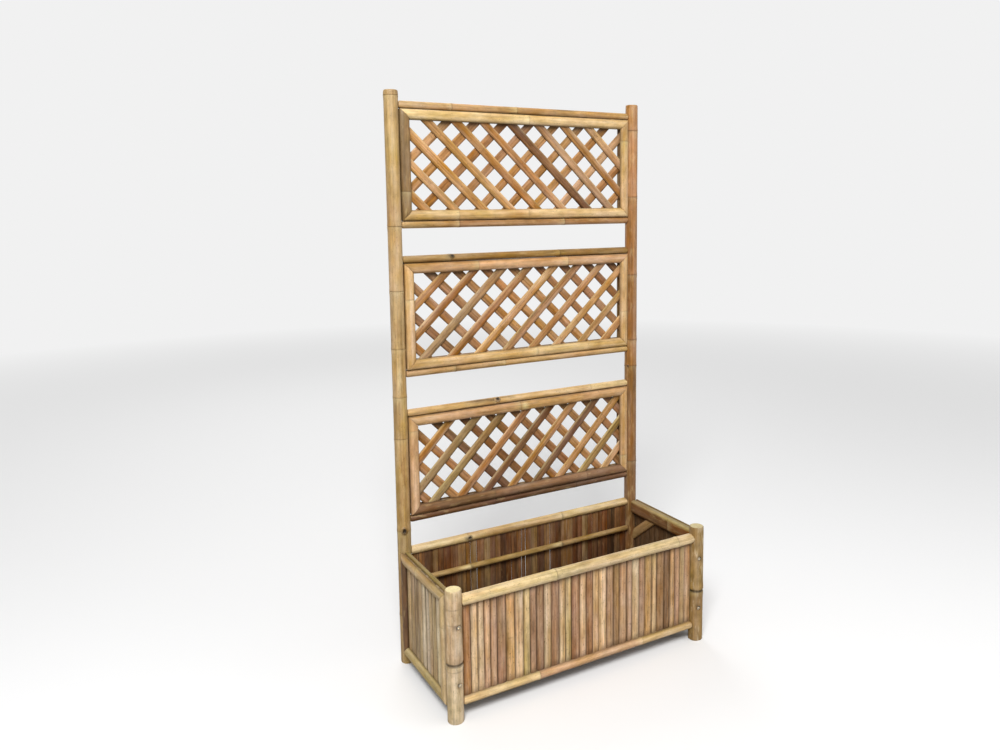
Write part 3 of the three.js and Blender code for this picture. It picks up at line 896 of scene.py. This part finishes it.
def memberBox(box, outer, width):      # one member's box inside a whole frame's, on its outer side
    shift = outer * (abs(sizeOf(box).dot(outer)) - width)
    if outer.x + outer.z > 0:
        return box[0] + shift, box[1]
    return box[0], box[1] + shift


def makeStrip(node, along, outward, outer, look):
    bm = stripPiece(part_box(node), along, outward, outer, look, random.Random(node))
    makePiece(bm, node, "dark_frame_strip" if node in darkStrips else "frame_strip", "stripSkin")


def makePanelFrames():
    for name, members in frames.items():
        for place, look in members.items():
            along, outer = directions[place]
            makeStrip(f"{name}_frame_{place}", along, front, outer, look)
        node = f"{name}_rear_frame"
        width = sizeOf(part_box(f"{name}_frame_top")).z
        rng = random.Random(node)
        whole = bmesh.new()
        for along, outer in directions.values():
            look = rearFrame | {"rings": [rng.uniform(-90, 90)]}
            box = memberBox(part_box(node), outer, width)
            addTo(whole, stripPiece(box, along, away, outer, look, rng))
        makePiece(whole, node, "frame_strip", "stripSkin")
    print("panel frames made", len(frames))


makePanelFrames()

sideLooks = {
    "frame_top": {"rings": [30], "tone": "honey", "other": "olive", "shares": [0.5, 0.3]},
    "frame_bottom": {"rings": [-20], "tone": "straw", "other": "olive"},
    "frame_front": {"rings": [48], "tone": "straw", "other": "sand"},
    "frame_back": {"rings": [-52], "tone": "umber", "other": "bark", "bloom": 0},
    # painted light and shade: the crest is olive as if lit from above, the face dark rust and umber as if
    # shaded
    "inner_top": {
        "rings": [-35], "tone": "rust", "other": "umber", "crest": "olive", "fullness": 2.2,
        "edgeShade": 0.25,
    },
    "floor_ledge": {"rings": [20], "tone": "honey", "other": "tan"},
    "brace": {"rings": [], "tone": "olive", "other": "tan", "stainsAndShade": [(18, 4, 30, 5, 0.15)]},
}
sideWays = {
    "frame_top": (away, up), "frame_bottom": (away, -up),
    "frame_front": (up, front), "frame_back": (up, away),
}


def sidePosts(side):
    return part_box(f"front_{side}_post"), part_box(f"back_{side}_post")


def makeSideStrips(side, outward):
    for part, (along, outer) in sideWays.items():
        makeStrip(f"{side}_{part}", along, outward, outer, sideLooks[part])
    near, far = sidePosts(side)
    slack = fit["strip"]
    for part, *kinds in (("inner_top", "frame_strip", "stripSkin"), ("floor_ledge", "rail_culm", "culmSkin")):
        node = f"{side}_{part}"
        low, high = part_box(node)
        box = Vector((low.x, near[1].y - slack, low.z)), Vector((high.x, far[0].y + slack, high.z))
        bm = stripPiece(box, away, -outward, up, sideLooks[part], random.Random(node), mitred=False)
        cope([vert for vert in bm.verts if vert.co.y < box[0].y + 1 * mm], front, near, slack)
        cope([vert for vert in bm.verts if vert.co.y > box[1].y - 1 * mm], away, far, slack)
        makePiece(bm, node, *kinds)


brace = {"width": 25 * mm, "angle": 38, "footHeight": 184 * mm}


def makeBrace(side, outward):
    node = f"{side}_brace"
    low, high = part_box(node)
    rng = random.Random(node)
    look = sideLooks["brace"]
    depth = high.x - low.x
    lean = radians(brace["angle"])
    along = Vector((0, cos(lean), -sin(lean)))
    length = hypot(high.y - low.y, high.z - low.z) + 2 * brace["width"]
    bm = halfRound(length, brace["width"], depth, 1.6)
    shapeStrip(bm, length, depth, [], look, rng)
    spots = stripSpots(look["stainsAndShade"], length, depth)
    paint(bm, rng, jointPaint([], look, rng), markAndShadePaint([], 1, spots))
    post = sidePosts(side)[1]
    foot = Vector(((low.x + high.x) / 2, post[0].y, brace["footHeight"]))
    start = foot - along * (length - brace["width"] * 0.8)
    start.x = low.x if outward.x < 0 else high.x
    bm.transform(placing(along, -outward, start))
    cut(bm, Vector((0, 0, high.z)), up)
    reach = sqrt((sizeOf(post).x / 2) ** 2 - (abs(middleOf((low, high)).x) - abs(middleOf(post).x)) ** 2)
    cut(bm, Vector((0, middleOf(post).y - reach, 0)), away)
    soften(bm, 0.6 * mm, 1)
    makePiece(bm, node, "frame_strip", "stripSkin")


# Split slats

slatShape = {
    "spacing": 16 * mm, "round": 0.7 * mm, "edgeWaver": 0.35 * mm, "faceWaver": 0.3 * mm,
    "ringLines": (-2.4, -0.7, 0, 0.7, 2.4),
}


def slatBody(length, width, thickness, crown, look, rings, shift, bow, taper):
    half = width / 2
    section = [(-half, 0), (half, 0), (half, thickness - crown), (half * 0.5, thickness),
               (-half * 0.5, thickness), (-half, thickness - crown)]
    bm = prism(section, length)
    soften(bm, slatShape["round"] * look.get("round", 1))
    lines = [place + reach * mm for place in rings for reach in slatShape["ringLines"]]
    ringed(bm, stationsOf(length, slatShape["spacing"], lines))
    for vert in bm.verts:
        x, y, z = vert.co
        edge = slatShape["edgeWaver"] * noise.noise(Vector((x * 17, 0 if y < 0 else 9, 0)) + shift)
        vert.co.y += (edge - taper * (x / length - 0.5)) * (1 if y > 0 else -1) * min(1, abs(y) / half)
        vert.co.y += bow * sin(pi * x / length)
        if z > thickness / 2:
            lift = slatShape["faceWaver"] * noise.noise(Vector((x * 13, y * 60, 5)) + shift)
            near = max([fade(x - place, 2.4 * mm) for place in rings], default=0)
            vert.co.z += lift - slatShape["faceWaver"] * 0.5 + 0.25 * mm * near
    return bm


slatLook = {                    # what a slat has unless its own look differs
    "round": 1, "bow": 0.4, "taper": 0.3, "middle": "tan", "pull": 0, "sideShade": 0.45, "endShade": 0,
    "innerShade": 0, "damp": 0, "edgeHighlight": 0,
}


def splitSlat(length, width, thickness, crown, look, rng, rings=(), stainsAndShade=()):
    look = slatLook | look
    half = width / 2
    shift = Vector((rng.uniform(0, 50), rng.uniform(0, 50), 0))
    bow = rng.uniform(-1, 1) * look["bow"] * mm
    taper = rng.uniform(-1, 1) * look["taper"] * mm
    bm = slatBody(length, width, thickness, crown, look, rings, shift, bow, taper)
    plain = tone(look["tone"]).lerp(tone(look["middle"]), look["pull"])
    other = tone(look["other"])
    share = rng.uniform(0, 0.5)
    level = rng.uniform(0.93, 1.07)
    spots = [(Vector((a * mm, b * mm, thickness)), (c * mm, d * mm, 3 * thickness), e)
             for a, b, c, d, e in stainsAndShade]
    line = markAndShadePaint(rings, 0.8, spots, 0.5)

    def toneAt(co):
        drift = noise.noise(Vector((co.x * 6, 0, 7)) + shift)
        made = plain.lerp(other, min(1, max(0, share + 0.3 * drift))) * level
        inner = look["innerShade"] * fade(co.z, thickness * 0.6)
        # the slats grow darker towards their low ends
        damp = look["damp"] * fade(co.x, length * 0.9)
        edge = look["edgeHighlight"] * fade(half - co.y, 3 * mm)      # painted highlight: the upper edge is paler, as if lit from above
        return made.lerp(tone("umber"), inner).lerp(tone("cream"), edge) * (1 - damp)

    def markAndShadeAt(co):
        # painted shade along the slat's sides, in the gaps; with a highlighted upper edge, along the lower
        # side only
        reach = half + co.y if look["edgeHighlight"] else half - abs(co.y)
        worn = look["sideShade"] * fade(reach, 2.1 * mm) * (1 - min(1, max(0, co.z / thickness)) * 0.3)
        # painted shade near both ends, where the slats run into the rails
        ends = look["endShade"] * fade(min(co.x, length - co.x), 7 * mm)
        return max(worn, ends, line(co))

    paint(bm, rng, toneAt, markAndShadeAt)
    return bm


def weighted(rng, choices):
    return rng.choices([name for name, _ in choices], [weight for _, weight in choices])[0]


def slatWidths(rng, count, total, least, most):
    rough = [rng.uniform(least, most) for _ in range(count)]
    return [width * total / sum(rough) for width in rough]


wallLook = {                    # what a wall's slats have unless their own look differs
    "slot": "wall_slat", "finish": "splitWood", "gaps": (0.3, 1.1), "chosen": {}, "lined": (),
    "bow": 0.5, "taper": 0.7, "innerShade": 0,
}
walls = {
    "front_wall_slats": {
        "count": 34, "widths": (14, 22),
        "tones": [("russet", 2), ("tan", 2), ("pinkSand", 6), ("sand", 4), ("peach", 3), ("dusk", 5),
                  ("mauve", 1.5), ("shell", 2), ("umber", 0.4)],
        "middle": "pinkSand", "pull": 0.1, "innerShade": 0.7, "endShade": 0.5, "sideShade": 0.65,
        "chosen": {0: "russet", 1: "shell", 2: "shell", 3: "pinkSand", 4: "dusk", 5: "dusk", 6: "peach",
                   7: "shell", 8: "straw", 9: "dusk", 10: "mauve", 13: "shell", 14: "straw", 15: "russet",
                   20: "mauve", 22: "peach", 24: "sand", 28: "mauve", 29: "umber", 30: "pinkSand",
                   31: "dusk", 32: "sand"},
        "others": ("peach", "dusk", "tan", "pinkSand"),
        "wideGaps": {5: 1.8, 10: 1, 14: 0.8, 20: 0.7, 27: 1.9, 29: 1.0}, "ringShare": 0.16,
    },
    "back_wall_slats": {
        "count": 38, "widths": (11, 21), "slot": "inner_slat", "finish": "innerWood",
        "tones": [("cocoa", 3), ("bark", 1), ("rust", 5), ("toast", 5), ("russet", 6), ("caramel", 6),
                  ("honey", 4)],
        "middle": "rust", "pull": 0.05, "gaps": (0.1, 0.5), "sideShade": 0.6, "damp": 0.62,
        "others": ("cocoa", "rust", "toast"),
        "wideGaps": {9: 1.9, 18: 1.3, 22: 2, 30: 1.6}, "ringShare": 0.2,
    },
    "left_wall_slats": {
        "count": 12, "widths": (17, 24), "slot": "side_wall_slat",
        "tones": [("greyTan", 1.5), ("sand", 5), ("pale", 5), ("olive", 0.5)],
        "middle": "sand", "pull": 0.1, "innerShade": 0.8, "endShade": 0.4, "sideShade": 0.6,
        "lined": (3, 6), "chosen": {0: "sand", 3: "sand", 11: "russet"},
        "others": ("olive", "mauve", "greyTan"),
        "wideGaps": {4: 1.4, 6: 1.4}, "ringShare": 0.12,
    },
    "right_wall_slats": {
        "count": 12, "widths": (17, 24), "slot": "side_wall_slat",
        "tones": [("greyTan", 3), ("tan", 3), ("mauve", 2), ("russet", 2), ("sand", 1)],
        "middle": "greyTan", "pull": 0.3, "innerShade": 0.85, "damp": 0.3, "endShade": 0.3, "sideShade": 0.6,
        "others": ("olive", "mauve", "umber"),
        "wideGaps": {2: 1.2, 8: 1.4}, "ringShare": 0.15,
    },
    "floor_slats": {
        "count": 34, "widths": (17, 22), "slot": "inner_slat", "finish": "innerWood",
        "tones": [("umber", 4), ("tan", 3), ("bark", 2), ("russet", 2), ("mauve", 1)],
        "middle": "umber", "pull": 0.3, "sideShade": 0.6,
        "others": ("bark", "umber", "tan"),
        "wideGaps": {5: 1.6, 12: 1.4, 24: 1.8}, "ringShare": 0.1,
    },
}


def makeWall(node, along, outward, low, high):
    # low and high are the heights, along the slats, between which they show
    look = wallLook | walls[node]
    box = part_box(node)
    rng = random.Random(node)
    across = outward.cross(along)
    total = abs(sizeOf(box).dot(across))
    thickness = abs(sizeOf(box).dot(outward))
    length = high - low
    whole = bmesh.new()
    at = -total / 2
    order = 1 if across.dot(right + away) > 0 else -1
    for i, width in enumerate(slatWidths(rng, look["count"], total, *look["widths"])):
        toneName = look["chosen"].get(i) or weighted(rng, look["tones"])
        gap = (look["wideGaps"].get(i, 0) + rng.uniform(*look["gaps"])) * mm
        rings = [rng.uniform(0.15, 0.85) * length] if rng.random() < look["ringShare"] else []
        stainsAndShade = [(rng.uniform(0, 1) * length / mm, rng.uniform(-6, 6), rng.uniform(8, 60), rng.uniform(2, 5),
                   rng.uniform(0.1, 0.35)) for _ in range(rng.choice((0, 1, 1, 2)))]
        stainsAndShade += [(rng.uniform(0, 1) * length / mm, rng.uniform(-7, 7), 1.6, 1.2, 0.7)
                   for _ in range(rng.choice((0, 0, 1, 2)))]
        # the lined slats take the strongest painted shade along their sides
        local = look | {"tone": toneName, "other": rng.choice(look["others"]),
                        "pull": 0 if i in look["chosen"] else look["pull"],
                        "sideShade": 1 if i in look["lined"] else look["sideShade"]}
        depth = thickness - rng.uniform(0.3, 1) * mm
        bm = splitSlat(length, width - gap, depth, 1.5 * mm, local, rng, rings, stainsAndShade)
        tilt = Matrix.Rotation(radians(rng.uniform(-2, 2)), 4, "X")
        middle = middleOf(box) + across * order * (at + width / 2) - outward * thickness / 2
        middle += along * (low - middle.dot(along))
        bm.transform(placing(along, outward, middle) @ tilt)
        addTo(whole, bm)
        at += width
    return whole


def finishWall(bm, node):
    look = wallLook | walls[node]
    makePiece(bm, node, look["slot"], look["finish"])


def makeWalls():
    bite = 0.8 * mm             # how far the slats reach past the rails' nearest points
    for name, outward in (("front", front), ("back", away)):
        node = f"{name}_wall_slats"
        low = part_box(f"{name}_bottom_rail")[1].z - bite
        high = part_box(f"{name}_top_rail")[0].z + bite
        finishWall(makeWall(node, up, outward, low, high), node)
    for name, outward in sides.items():
        node = f"{name}_wall_slats"
        low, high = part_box(node)
        finishWall(makeWall(node, up, outward, low.z, high.z), node)
    low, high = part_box("floor_slats")
    bm = makeWall("floor_slats", away, -up, low.y, high.y)
    finishWall(notched(bm, fit["floor"]), "floor_slats")
    print("walls and floor made", len(walls))


def notched(bm, slack):         # the floor's end slats stop short at the posts
    for side in sides:
        for post in sidePosts(side):
            centre, radius = middleOf(post), sizeOf(post).x / 2 + slack
            ahead = 1 if centre.y < 0 else -1
            for vert in bm.verts:
                off = vert.co.x - centre.x
                if abs(off) < radius:
                    edge = centre.y + ahead * sqrt(radius ** 2 - off ** 2)
                    if (vert.co.y - edge) * ahead < 0:
                        vert.co.y = edge
    return bm


makeWalls()

# Lattices. A slat crosses the panel's middle height at its phase and every pitch from there
lattice = {
    "width": 20, "pitch": 50.5, "frontThickness": 4.6, "backThickness": 3.8, "shortest": 75,
    # painted shadow under the frames' top strips, deeper on the back layer
    "grime": {"front": 0.3, "back": 0.6}, "frameShadowReach": 34,
}
# the back layers' darker tones are painted shade behind the front layers
lattices = {
    "upper": {
        "lean": -1, "angle": 43.4, "frontPhase": 6.6, "backPhase": -9.6, "crown": 0.5, "round": 0.8,
        "front": [("caramel", 3), ("toast", 4), ("russet", 2)], "middle": "toast", "pull": 0.35,
        "back": [("pinkSand", 2), ("toast", 3), ("chestnut", 3)],
        "chosen": {3: "caramel", 6: "cocoa", 7: "mauve", 8: "toast", 9: "peach"},
        "stainsAndShade": {},
    },
    "middle": {
        "lean": 1, "angle": 43.4, "frontPhase": -17.1, "backPhase": 3.6, "crown": 1.6, "round": 1.4,
        "front": [("toast", 1)], "middle": "toast", "pull": 0.2,
        "back": [("toast", 3), ("chestnut", 4), ("cocoa", 2), ("mauve", 3)],
        "chosen": {0: "toast", 1: "russet", 2: "greyTan", 3: "chestnut", 4: "caramel", 5: "mauve",
                   6: "toast", 7: "caramel", 8: "tan", 9: "toast"},
        "stainsAndShade": {1: (200, 0, 18, 9, 0.5), 3: (104, 0, 26, 10, 0.7)},
    },
    "lower": {
        "lean": 1, "angle": 45.7, "frontPhase": -16.7, "backPhase": -5.9, "crown": 1.6, "round": 1.2,
        "front": [("toast", 1)], "middle": "chestnut", "pull": 0.25,
        "back": [("toast", 2), ("chestnut", 3), ("cocoa", 4), ("bark", 1)],
        "chosen": {0: "toast", 1: "greyOlive", 2: "khaki", 3: "russet", 4: "cocoa", 5: "toast", 6: "cocoa",
                   7: "caramel", 8: "khaki", 9: "caramel"},
        "stainsAndShade": {},
    },
}


def slatPlaces(box, tilt, phase):      # where each slat crosses the middle, and how long it is
    width, height = sizeOf(box).x, sizeOf(box).z
    step = lattice["pitch"] * mm / abs(sin(tilt))
    run = height / 2 / tan(abs(tilt))
    found = []
    for i in range(-20, 21):
        x = phase * mm + i * step
        shown = min(x + run, width / 2) - max(x - run, -width / 2)
        if shown / cos(tilt) >= lattice["shortest"] * mm:
            found.append(x)
    return found, 2 * run / cos(tilt)


def makeLayer(whole, name, box, layer, rng):
    look = lattices[name]
    ahead = layer == "front"
    tilt = radians(look["lean"] * look["angle"]) * (1 if ahead else -1)
    places, length = slatPlaces(box, tilt, look[layer + "Phase"])
    along = Vector((cos(tilt), 0, sin(tilt)))
    thickness = lattice[layer + "Thickness"] * mm
    length += 2 * lattice["width"] * mm
    back = box[0].y + (lattice["frontThickness"] + 0.1) * mm if ahead else box[1].y - 0.05 * mm
    for i, x in enumerate(places):
        chosen = look["chosen"].get(i) if ahead else None
        toneName = chosen or weighted(rng, look[layer])
        crown = (look["crown"] if ahead else 0.4) * mm
        width = (lattice["width"] + rng.uniform(-1.2, 0.9)) * mm
        stainsAndShade = [(rng.uniform(0, length / mm), rng.uniform(-6, 6), rng.uniform(10, 50), rng.uniform(3, 6),
                   rng.uniform(0.08, 0.3)) for _ in range(rng.choice((0, 1, 2)))]
        if ahead and i in look["stainsAndShade"]:
            stainsAndShade.append(look["stainsAndShade"][i])
        rings = [rng.uniform(0.2, 0.8) * length] if rng.random() < 0.35 else []
        # each slat's upper edge takes a painted highlight, and its lower side painted shade
        local = {"tone": toneName, "other": rng.choice(("toast", "caramel", "russet")), "bow": 0.8,
                 "round": look["round"] if ahead else 0.7, "edgeHighlight": 0.3 if ahead else 0.1,
                 "pull": 0 if chosen else look["pull"], "middle": look["middle"], "sideShade": 0.7}
        bm = splitSlat(length, width, thickness, crown, local, rng, rings, stainsAndShade)
        middle = Vector((middleOf(box).x + x, back, middleOf(box).z))
        turn = Matrix.Rotation(radians(rng.uniform(-0.5, 0.5)), 4, front)
        bm.transform(Matrix.Translation(middle) @ turn @ placing(along, front, -along * length / 2))
        for point, normal in ((box[0], left), (box[0], -up), (box[1], right), (box[1], up)):
            cut(bm, point, normal)
        shadeUnderFrame(bm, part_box(f"{name}_frame_top")[0].z, lattice["grime"][layer])
        addTo(whole, bm)


def shadeUnderFrame(bm, edge, share):   # painted shadow under the frame's top strip
    mark = bm.verts.layers.float["mark"]
    for vert in bm.verts:
        vert[mark] = max(vert[mark], share * fade(max(0, edge - vert.co.z), lattice["frameShadowReach"] * mm))


def makeLattices():
    for name in lattices:
        node = f"{name}_lattice"
        rng = random.Random(node)
        whole = bmesh.new()
        for layer in ("front", "back"):
            makeLayer(whole, name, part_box(node), layer, rng)
        makePiece(whole, node, "lattice_slat", "latticeWood")
    print("lattices made", len(lattices))


makeLattices()

# Side panels' inner pieces

def makeBatten(side, outward):
    node = f"{side}_screw_batten"
    low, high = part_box(node)
    look = {"tone": "tan", "other": "honey", "bow": 0, "taper": 0, "round": 1.5}
    rng = random.Random(node)
    bm = splitSlat(high.z - low.z, high.y - low.y, high.x - low.x, 3 * mm, look, rng)
    back = Vector((low.x if outward.x < 0 else high.x, (low.y + high.y) / 2, low.z))
    bm.transform(placing(up, -outward, back))
    makePiece(bm, node, "frame_strip", "splitWood")


for side, outward in sides.items():
    makeSideStrips(side, outward)
    makeBrace(side, outward)
    makeBatten(side, outward)
print("side panels made")

# Screws, with a cross recess

screw = {
    "headRadius": 4, "headHeight": 3, "shankRadius": 1.8, "slot": 4.6, "slotWidth": 1.1, "slotDepth": 1.6,
    "threadStart": 5, "threadPitch": 1.6, "tip": 2.5, "sides": 24,
    "thread": [(0, -0.5), (0.7, -0.4), (0.9, 0), (1.1, -0.4)],      # one turn: (along, off the shank)
}


def makeScrew(node):
    low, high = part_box(node)
    length = (high.y - low.y) / mm
    head, neck = screw["headRadius"], screw["shankRadius"]
    outline = [(0, 0), (0, head - 0.5), (0.15, head - 0.1), (0.5, head), (screw["headHeight"], neck + 0.2)]
    for i in range(int((length - screw["headHeight"] - screw["threadStart"]) / screw["threadPitch"])):
        start = screw["threadStart"] + i * screw["threadPitch"]
        outline += [(start + reach, neck + off) for reach, off in screw["thread"]]
    outline += [(length - screw["tip"], neck - 0.6), (length, 0)]
    bm = spun([(x * mm, out * mm) for x, out in outline], screw["sides"])
    tool = bmesh.new()
    for size in ((screw["slot"], screw["slotWidth"]), (screw["slotWidth"], screw["slot"])):
        made = bmesh.ops.create_cube(tool, size=1)
        scale = 2 * screw["slotDepth"] * mm, size[0] * mm, size[1] * mm
        bmesh.ops.scale(tool, verts=made["verts"], vec=scale)
    bm = carved(bm, [tool], crossing=True)
    turn = Matrix.Rotation(random.Random(node).uniform(0, pi / 2), 4, "X")
    middle = middleOf((low, high))
    bm.transform(placing(away, up, Vector((middle.x, low.y, middle.z))) @ turn)
    makePiece(bm, node, "screw_steel", "steel")


for side in sides:
    for level in ("upper", "lower"):
        makeScrew(f"{side}_{level}_screw")
print("screws made")

# Stage

stage = {
    "pale": 0.88,               # background and far floor, as the camera sees them
    "floor": 0.93, "bounce": 0.45, "floorSize": 60, "clear": 1.2, "far": 6,
    "sky": 0.34,
    "lamps": [
        # name, place, size, watts
        ("key", (-1.9, -2.7, 3.7), 1.6, 200),
        ("fill", (2.9, -2.6, 1.7), 2.6, 30),
        ("rim", (0.6, 3.2, 2.8), 2.2, 40),
    ],
}


def grey(key):
    return (stage[key], stage[key], stage[key], 1)


def makeFloor():
    bm = bmesh.new()
    bmesh.ops.create_grid(bm, x_segments=2, y_segments=2, size=stage["floorSize"] / 2)
    floor = linked(bm, "floor")
    floor.location.z = -0.2 * mm
    tree = Tree(bpy.data.materials.new("paleFloor"))
    place = tree.add("TexCoord").outputs["Object"]
    distance = tree.add("VectorMath", {0: place}, operation="LENGTH").outputs["Value"]
    far = tree.ranged(distance, stage["clear"], stage["far"])
    rays = tree.add("LightPath").outputs
    seen = tree.seen(rays)
    shade = tree.mix(rays["Is Camera Ray"], grey("bounce"), grey("floor"))
    tree.links.new(shade, tree.shader.inputs["Base Color"])
    tree.shader.inputs["Roughness"].default_value = 0.9
    tree.shader.inputs["Specular IOR Level"].default_value = 0.1
    plain = tree.add("Emission", {"Color": grey("pale"), "Strength": 1}).outputs[0]
    share = tree.math("MULTIPLY", far, seen)
    mixed = tree.add("MixShader", {0: share, 1: tree.shader.outputs[0], 2: plain}).outputs[0]
    tree.links.new(mixed, tree.nodes["Material Output"].inputs["Surface"])
    floor.data.materials.append(tree.owner)


def makeSky():
    world = bpy.data.worlds.new("studio")
    bpy.context.scene.world = world
    tree = Tree(world)
    light = tree.nodes["Background"]
    light.inputs["Color"].default_value = (1, 1, 1, 1)
    light.inputs["Strength"].default_value = stage["sky"]
    shown = tree.add("Background", {"Color": grey("pale")}).outputs[0]
    seen = tree.seen(tree.add("LightPath").outputs)
    mixed = tree.add("MixShader", {0: seen, 1: light.outputs[0], 2: shown}).outputs[0]
    tree.links.new(mixed, tree.nodes["World Output"].inputs["Surface"])


def makeLamps():
    target = Vector((0, 0, 0.6))
    for name, place, size, watts in stage["lamps"]:
        data = bpy.data.lights.new(name, "AREA")
        data.energy, data.size = watts, size
        lamp = bpy.data.objects.new(name, data)
        lamp.location = place
        lamp.rotation_euler = (target - Vector(place)).to_track_quat("-Z", "Y").to_euler()
        bpy.context.scene.collection.objects.link(lamp)


camera = {
    "place": (-1.0059, -1.6846, 1.0962), "yaw": 0.5355, "pitch": -0.1261, "roll": -0.0081,
    "focal": 840.0, "imageWidth": 1000, "imageHeight": 750, "centre": (550, 310),
}


def makeCamera():
    yaw, pitch, roll = camera["yaw"], camera["pitch"], camera["roll"]
    ahead = Vector((sin(yaw) * cos(pitch), cos(yaw) * cos(pitch), sin(pitch)))
    level = Vector((cos(yaw), -sin(yaw), 0))
    top = level.cross(ahead)
    across = cos(roll) * level + sin(roll) * top
    top = cos(roll) * top - sin(roll) * level
    data = bpy.data.cameras.new("camera")
    data.sensor_width = 36
    data.lens = camera["focal"] / camera["imageWidth"] * data.sensor_width
    data.shift_x = (camera["imageWidth"] / 2 - camera["centre"][0]) / camera["imageWidth"]
    data.shift_y = (camera["centre"][1] - camera["imageHeight"] / 2) / camera["imageWidth"]
    made = bpy.data.objects.new("camera", data)
    turn = Matrix((across, top, -ahead)).transposed().to_4x4()
    made.matrix_world = Matrix.Translation(camera["place"]) @ turn
    bpy.context.scene.collection.objects.link(made)
    bpy.context.scene.camera = made


makeFloor()
makeSky()
makeLamps()
makeCamera()
bpy.context.scene.view_settings.view_transform = "Standard"
print("stage made")
